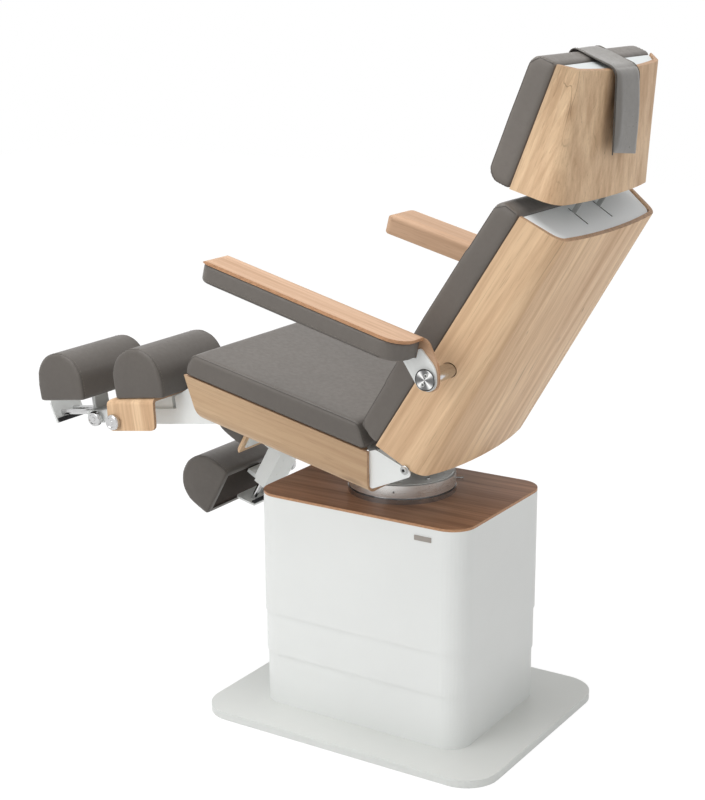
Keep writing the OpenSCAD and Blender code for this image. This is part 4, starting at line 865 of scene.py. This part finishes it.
def strap_sheet(name, x0, x1, lift, thick, wave):
    """One layer of the strap: a closed thin skin along the strap's line, lifted off it."""
    bm = bmesh.new()
    n, across = len(strap_line), 16
    rows = []
    run = 0.0
    for i, p in enumerate(strap_line):
        a, b = strap_line[max(0, i - 1)], strap_line[min(n - 1, i + 1)]
        d = (b - a).normalized()
        out = Vector((-d.y, d.x))
        run += (p - a).length if i else 0.0
        t = run / strap_length
        both = []
        for side in (0, 1):
            row = []
            for k in range(across + 1):
                u = k / across
                across_fill = min(1.0, 3.2 * math.sin(math.pi * u)) ** 0.6 if 0 < k < across else 0.0
                swell = wave * across_fill * filling(t)
                ripple = 0.0006 * math.sin(17.0 * t + 5.0 * u) * math.sin(math.pi * t)
                h = lift + side * thick + swell + ripple + 0.0012 * (abs(2 * u - 1) ** 3) * (t > 0.4)
                q = p + out * h
                q = q + d * (0.012 * (0.5 - u) * max(0.0, t - 0.75) / 0.25)
                narrow = 0.002 * math.sin(math.pi * t)
                x = x0 + slant(t) + narrow + (x1 - x0 - 2 * narrow) * u
                row.append(bm.verts.new((x, q.x, q.y)))
            both.append(row)
        rows.append(both)
    for r, s in zip(rows, rows[1:]):
        for k in range(across):
            bm.faces.new((r[1][k], r[1][k + 1], s[1][k + 1], s[1][k]))
            bm.faces.new((r[0][k + 1], r[0][k], s[0][k], s[0][k + 1]))
        for k, flip in ((0, False), (across, True)):
            f = (r[0][k], r[1][k], s[1][k], s[0][k])
            bm.faces.new(f if flip else f[::-1])
    for row, flip in ((rows[0], False), (rows[-1], True)):
        for k in range(across):
            f = (row[0][k], row[0][k + 1], row[1][k + 1], row[1][k])
            bm.faces.new(f if flip else f[::-1])
    bmesh.ops.recalc_face_normals(bm, faces=bm.faces)
    bmesh.ops.transform(bm, matrix=HEAD, verts=bm.verts)
    return from_bmesh(name, bm)


LAYER_T, WEIGHT_H = 0.0012, 0.0085
x0, x1 = STRAP_X - STRAP_W / 2, STRAP_X + STRAP_W / 2
skin = strap_sheet("neck_strap_outer", x0, x1, 0.0004, LAYER_T, WEIGHT_H)
outer = piece("neck_strap_outer", skin, "headrest", ROW, STRAP_LEATHER)
skin = strap_sheet("neck_strap_inner", x0 + 0.0015, x1 - 0.004, -0.0014, LAYER_T, 0.0)
inner = piece("neck_strap_inner", skin, "headrest", ROW, STRAP_LEATHER)
for s in (outer, inner):
    m = s.modifiers.new("fine", "SUBSURF")
    m.levels = m.render_levels = 1
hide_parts("neck_strap")


def strap_point(t, u, lift):
    """A point on the strap's outer face: t along it, u across it."""
    goal = t * strap_length
    run = 0.0
    for a, b in zip(strap_line, strap_line[1:]):
        step = (b - a).length
        if run + step >= goal:
            d = (b - a).normalized()
            p = a.lerp(b, (goal - run) / step) + Vector((-d.y, d.x)) * lift
            break
        run += step
    x = STRAP_X + slant(t) - STRAP_W / 2 + STRAP_W * u
    return Vector((x, p.x, p.y)), Vector((0, -d.y, d.x))


# Rows of stitches along the strap's two sides and across its end: where across, where along, how many
bm = bmesh.new()
rows = ((0.05, 0.05, 0.02, 0.975, 62), (0.95, 0.95, 0.02, 0.975, 62), (0.05, 0.95, 0.962, 0.962, 16))
for u0, u1, t0, t1, count in rows:
    for i in range(count):
        a, b = (i + 0.15) / count, (i + 0.85) / count
        p, n = strap_point(t0 + (t1 - t0) * a, u0 + (u1 - u0) * a, 0.0024)
        q, _ = strap_point(t0 + (t1 - t0) * b, u0 + (u1 - u0) * b, 0.0024)
        tube(bm, [p, (p + q) / 2 + n * 0.0002, q], [n, n, n], 0.00045, 5)
fold = bmesh.new()
for u in (0.0, 1.0):
    edge, up = zip(*[strap_point(t, u, LAYER_T) for t in np.linspace(0.004, 0.996, 90)])
    aside = Vector((0.0006 - 0.0012 * (1 - u), 0, 0))
    tube(fold, [HEAD @ (p + aside) for p in edge], [(HEAD.to_3x3() @ n).normalized() for n in up], 0.0013, 6)
piece("neck_strap_folds", from_bmesh("neck_strap_folds", fold), "headrest", ROW, PIPING)
bmesh.ops.transform(bm, matrix=HEAD, verts=bm.verts)
piece("neck_strap_stitches", from_bmesh("neck_strap_stitches", bm), "headrest", ROW, THREAD)


# Turned and small metal pieces
def lathe(name, profile, segments=48, ribs=None):
    """A turned solid round X from (x, radius) points; ribs names the points whose radius is fluted."""
    bm = bmesh.new()
    rings = []
    for i, (x, r) in enumerate(profile):
        if r <= 1e-7:
            rings.append([bm.verts.new((x, 0, 0))])
            continue
        ring = []
        for k in range(segments):
            a = 2 * math.pi * k / segments
            q = r * (0.955 if ribs and i in ribs and k % 2 else 1.0)
            ring.append(bm.verts.new((x, q * math.cos(a), q * math.sin(a))))
        rings.append(ring)
    for r, s in zip(rings, rings[1:]):
        n = max(len(r), len(s))
        for k in range(n):
            j = (k + 1) % n
            f = [r[k % len(r)], r[j % len(r)], s[j % len(s)], s[k % len(s)]]
            f = list(dict.fromkeys(f))
            if len(f) > 2:
                bm.faces.new(f)
    bmesh.ops.recalc_face_normals(bm, faces=bm.faces)
    return from_bmesh(name, bm)


def facing(origin, direction):
    """A place whose X axis points in the direction."""
    return Matrix.Translation(origin) @ Vector(direction).to_track_quat("X", "Z").to_matrix().to_4x4()


def sharp(o, angle=34):
    o.data.set_sharp_from_angle(angle=math.radians(angle))
    return o


def screw(name, body, origin, direction, radius, height):
    """A cap screw's head with a hexagon socket, its seat at the origin."""
    place = facing(origin, direction)
    h, r = height, radius
    head = lathe(name, [(0, 0), (0, r), (h * 0.7, r), (h * 0.94, r * 0.93), (h, r * 0.84), (h, r * 0.50),
                        (h * 0.45, r * 0.46), (h * 0.45, 0)], 36)
    sharp(piece(name, head, body, place, BOLT))
    bm = bmesh.new()
    # A dark hexagon inside the head's recess: painted shade in the socket
    key, turns = r * 0.44, [math.pi * k / 3 for k in range(6)]
    lo = [bm.verts.new((h * 0.47, key * math.cos(a), key * math.sin(a))) for a in turns]
    hi = [bm.verts.new((h * 0.62, v.co.y, v.co.z)) for v in lo]
    bm.faces.new(lo[::-1])
    bm.faces.new(hi)
    for k in range(6):
        bm.faces.new((lo[k], lo[(k + 1) % 6], hi[(k + 1) % 6], hi[k]))
    piece(name + "_socket_shade", from_bmesh(name + "_socket_shade", bm), body, place, DARK_SHADE_FILL, False)


# Clamp knobs: where their screws start on the box and where their grips start, in x
ROD_Z = -0.081
KNOB_R, KNOB_T = 0.0185, 0.016
SADDLE = {"left": 0.135, "right": 0.115}
BOX_END = {"left": 0.419, "right": 0.342}
FLUTED = {7, 8}
for side in SIDE:
    s = SIDE[side]
    for kind, y, z, neck0, neck1 in (
        ("rod_knob", -SADDLE[side] - 0.124, ROD_Z, 0.0505, 0.1285),
        ("slide_knob", -BOX_END[side] + 0.034, ROD_Z - 0.009, 0.0475, 0.0525),
    ):
        place = leg_frame(side) @ Matrix.Translation((0, y, z))
        if s < 0:
            place = place @ Matrix.Rotation(math.pi, 4, "Z")
        a, b, r = neck1, neck1 + KNOB_T, KNOB_R
        neck = [(neck0, 0), (neck0, 0.005), (a - 0.001, 0.005)]
        grip = [(a, r * 0.62), (a, r * 0.86), (a + 0.0012, r * 0.93), (a + 0.0026, r * 0.94),
                (a + 0.0034, r), (b - 0.0052, r), (b - 0.0044, r * 0.93)]
        face = [(b - 0.0026, r * 0.95), (b - 0.0008, r * 0.88), (b, r * 0.80), (b, r * 0.66),
                (b - 0.0016, r * 0.60), (b - 0.0018, r * 0.30), (b - 0.0006, r * 0.26),
                (b - 0.0004, r * 0.10), (b - 0.0004, 0)]
        knob = lathe(f"{side}_{kind}_turned", neck + grip + face, 72, FLUTED)
        o = sharp(piece(f"{side}_{kind}_turned", knob, f"{kind}_{side}", place, CHROME))
        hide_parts(f"{side}_{kind}")

# Armrest caps, each a faced disc with a painted reflection, two cap screws and a dark ring round it as
# painted shade in the shaft's hole, and the recline pins' heads with their washers. The profiles hold (x,
# radius) points
DISC = [(-0.0004, 0), (-0.0004, 0.0206), (0.0004, 0.0207), (0.0012, 0.0200), (0.0014, 0.0190), (0.0014, 0)]
HOLE_SHADE_RING = [(0, 0.0206), (0, 0.0226), (0.0005, 0.0224), (0.0005, 0.0206), (0, 0.0206)]
WASHER = [(0, 0), (0, 0.0100), (0.0010, 0.0100), (0.0014, 0.0094), (0.0014, 0)]
CAP_X = 0.329 + 0.007 + 0.0005 + 0.0047 + 0.0005 + 0.006
for side in SIDE:
    s = SIDE[side]
    outward = (s, 0, 0)
    at = Vector((s * CAP_X, 0.260, 0.8955))
    disc = lathe(f"{side}_arm_cap_face", DISC, 72)
    sharp(piece(f"{side}_arm_cap_face", disc, "back", facing(at, outward), FACED))
    for i, (dy, dz) in enumerate(((0.003, 0.0095), (-0.003, -0.0095))):
        where = at + Vector((s * 0.0013, dy, dz))
        screw(f"{side}_arm_cap_screw_{i}", "back", where, outward, 0.0042, 0.0022)
    # A dark ring just behind the cap: painted shade in the gap of the shaft's hole
    shade_ring = lathe(f"{side}_arm_hole_shade_ring", HOLE_SHADE_RING, 72)
    behind = at - Vector((s * 0.0002, 0, 0))
    piece(f"{side}_arm_hole_shade_ring", shade_ring, "back", facing(behind, outward), DARK_SHADE_FILL)
    pin = Vector((s * 0.2525, 0.157, 0.667))
    washer = lathe(f"{side}_recline_washer", WASHER, 40)
    sharp(piece(f"{side}_recline_washer", washer, "seat", facing(pin, outward), BOLT))
    screw(f"{side}_recline_head", "seat", pin + Vector((s * 0.0012, 0, 0)), outward, 0.0075, 0.0045)

# Dark pieces in the two slits of the back's top plate, in front of the bars and behind them: painted shade in
# the slits
SLIT_SHADE_X, SLIT_SHADE_LOW, SLIT_SHADE_HIGH = 0.059, 0.5960, 0.5984
for side in SIDE:
    for tag, y0, y1 in (("front", 0.0102, 0.0190), ("rear", 0.0292, 0.0630)):
        r = 0.0026
        round_end = [(y1 - r + r * math.sin(a), -r * math.cos(a)) for a in np.linspace(0.0, math.pi, 9)]
        oval = [(y0, -r)] + round_end + [(y0, r)]
        bm = bmesh.new()
        low = [bm.verts.new((SIDE[side] * SLIT_SHADE_X + x, y, SLIT_SHADE_LOW)) for y, x in oval]
        high = [bm.verts.new((SIDE[side] * SLIT_SHADE_X + x, y, SLIT_SHADE_HIGH)) for y, x in oval]
        bm.faces.new(low)
        bm.faces.new(high[::-1])
        for i in range(len(oval)):
            j = (i + 1) % len(oval)
            bm.faces.new((low[i], high[i], high[j], low[j]))
        bmesh.ops.recalc_face_normals(bm, faces=bm.faces)
        name = f"{side}_slit_shade_{tag}"
        piece(name, from_bmesh(name, bm), "back", BACK, DARK_SHADE_FILL, False)

# Screws round the turntable's ring, the white flange on it, and the flange's bolts
RING_R, RING_Z = 0.1226, 0.5605
FLANGE_IN, FLANGE_OUT, FLANGE_Z, FLANGE_T = 0.070, 0.1185, 0.5751, 0.0022
BOLT_R, BOLT_Z = 0.0975, 0.5772
for i in range(3):
    a = math.radians(22 + 120 * i)
    out = Vector((math.cos(a), math.sin(a), 0))
    at = out * RING_R + Vector((0, 0, RING_Z))
    screw(f"ring_screw_{i}", "swivel", at, out, 0.0030, 0.0014)
profile = [(0, FLANGE_IN), (0, FLANGE_OUT), (0.0014, FLANGE_OUT), (FLANGE_T, FLANGE_OUT - 0.001),
           (FLANGE_T, FLANGE_IN), (0, FLANGE_IN)]
flange = lathe("casting_flange", profile, 96)
sharp(piece("casting_flange", flange, "swivel", facing((0, 0, FLANGE_Z), UP), CASTING))
for i in range(8):
    a = math.radians(22.5 + 45 * i)
    at = Vector((BOLT_R * math.cos(a), BOLT_R * math.sin(a), BOLT_Z))
    screw(f"bracket_bolt_{i}", "swivel", at, UP, 0.0052, 0.0040)

# Floor, world, lights and camera. The floor and the world look white and light the chair softly
FLOOR_SEEN, FLOOR_GLOW = 0.88, 1.08
WORLD_SEEN, WORLD_LIGHT = 1.0, 0.56


def direct_rays(nt):
    """1 for rays from the camera, a gloss or glass, and 0 for light that is scattered."""
    rays = nt.nodes.new("ShaderNodeLightPath")
    found = rays.outputs["Is Camera Ray"]
    for kind in ("Is Glossy Ray", "Is Transmission Ray"):
        either = nt.nodes.new("ShaderNodeMath")
        either.operation = "MAXIMUM"
        nt.links.new(found, either.inputs[0])
        nt.links.new(rays.outputs[kind], either.inputs[1])
        found = either.outputs[0]
    return found


bm = bmesh.new()
bmesh.ops.create_grid(bm, x_segments=1, y_segments=1, size=9.0)
floor = bpy.data.objects.new("studio_floor", from_bmesh("studio_floor", bm))
scene.collection.objects.link(floor)
floor.location = (0, 0, -0.0002)
t = Tree("studio_floor")
t.set("Base Color", t.mix(t.noise(t.point, 1.5), (0.86, 0.86, 0.86, 1), (0.88, 0.88, 0.88, 1)))
t.set("Roughness", 0.9)
glow = t.add("ShaderNodeEmission")
glow.inputs["Strength"].default_value = FLOOR_GLOW
join = t.add("ShaderNodeMixShader")
t.nt.links.new(t.math("MULTIPLY", direct_rays(t.nt), FLOOR_SEEN), join.inputs[0])
t.nt.links.new(t.bsdf.outputs["BSDF"], join.inputs[1])
t.nt.links.new(glow.outputs["Emission"], join.inputs[2])
t.nt.links.new(join.outputs["Shader"], t.out.inputs["Surface"])
floor.data.materials.append(t.mat)
floor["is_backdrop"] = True

world = bpy.data.worlds.new("studio")
scene.world = world
world.use_nodes = True
nt = world.node_tree
nt.nodes.clear()
result = nt.nodes.new("ShaderNodeOutputWorld")
light = nt.nodes.new("ShaderNodeBackground")
light.inputs["Color"].default_value = (1, 1, 1, 1)
strength = nt.nodes.new("ShaderNodeMapRange")
strength.inputs["To Min"].default_value = WORLD_LIGHT
strength.inputs["To Max"].default_value = WORLD_SEEN
nt.links.new(direct_rays(nt), strength.inputs["Value"])
nt.links.new(strength.outputs["Result"], light.inputs["Strength"])
nt.links.new(light.outputs["Background"], result.inputs["Surface"])


def lamp(name, where, at, size, power):
    """A round lamp that shines at a point."""
    data = bpy.data.lights.new(name, "AREA")
    data.shape, data.size, data.energy = "DISK", size, power
    o = bpy.data.objects.new(name, data)
    scene.collection.objects.link(o)
    o.location = where
    o.rotation_mode = "QUATERNION"
    o.rotation_quaternion = (Vector(at) - Vector(where)).to_track_quat("-Z", "Y")


lamp("key", (3.4, -1.2, 2.4), (0, 0, 0.8), 2.4, 37)
lamp("top", (0.6, -0.6, 4.2), (0, 0, 0.6), 3.0, 92)
lamp("rear_fill", (1.4, 4.4, 1.8), (0, 0, 0.8), 2.4, 1)

# The camera as solved from the photo: its axes, its place along them, and its focal length in pixels
PHOTO_HEIGHT, FOCAL_PIXELS, SENSOR = 800, 1635.115, 36
view_right = Vector((-0.5401, 0.84158, -0.00537))
view_up = Vector((-0.22068, -0.13546, 0.96589))
view_back = Vector((0.81215, 0.52287, 0.25888))
camera = bpy.data.objects.new("camera", bpy.data.cameras.new("camera"))
scene.collection.objects.link(camera)
turn = Matrix((view_right, view_up, view_back)).transposed().to_quaternion()
camera.rotation_mode = "QUATERNION"
camera.rotation_quaternion = turn
camera.location = view_back * 3.8769 + view_right * -0.11648 + view_up * 0.7140
camera.data.sensor_width = SENSOR
camera.data.lens = FOCAL_PIXELS / PHOTO_HEIGHT * SENSOR
camera.data.clip_start, camera.data.clip_end = 0.05, 100
scene.camera = camera
scene.view_settings.view_transform = "Standard"

low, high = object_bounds()
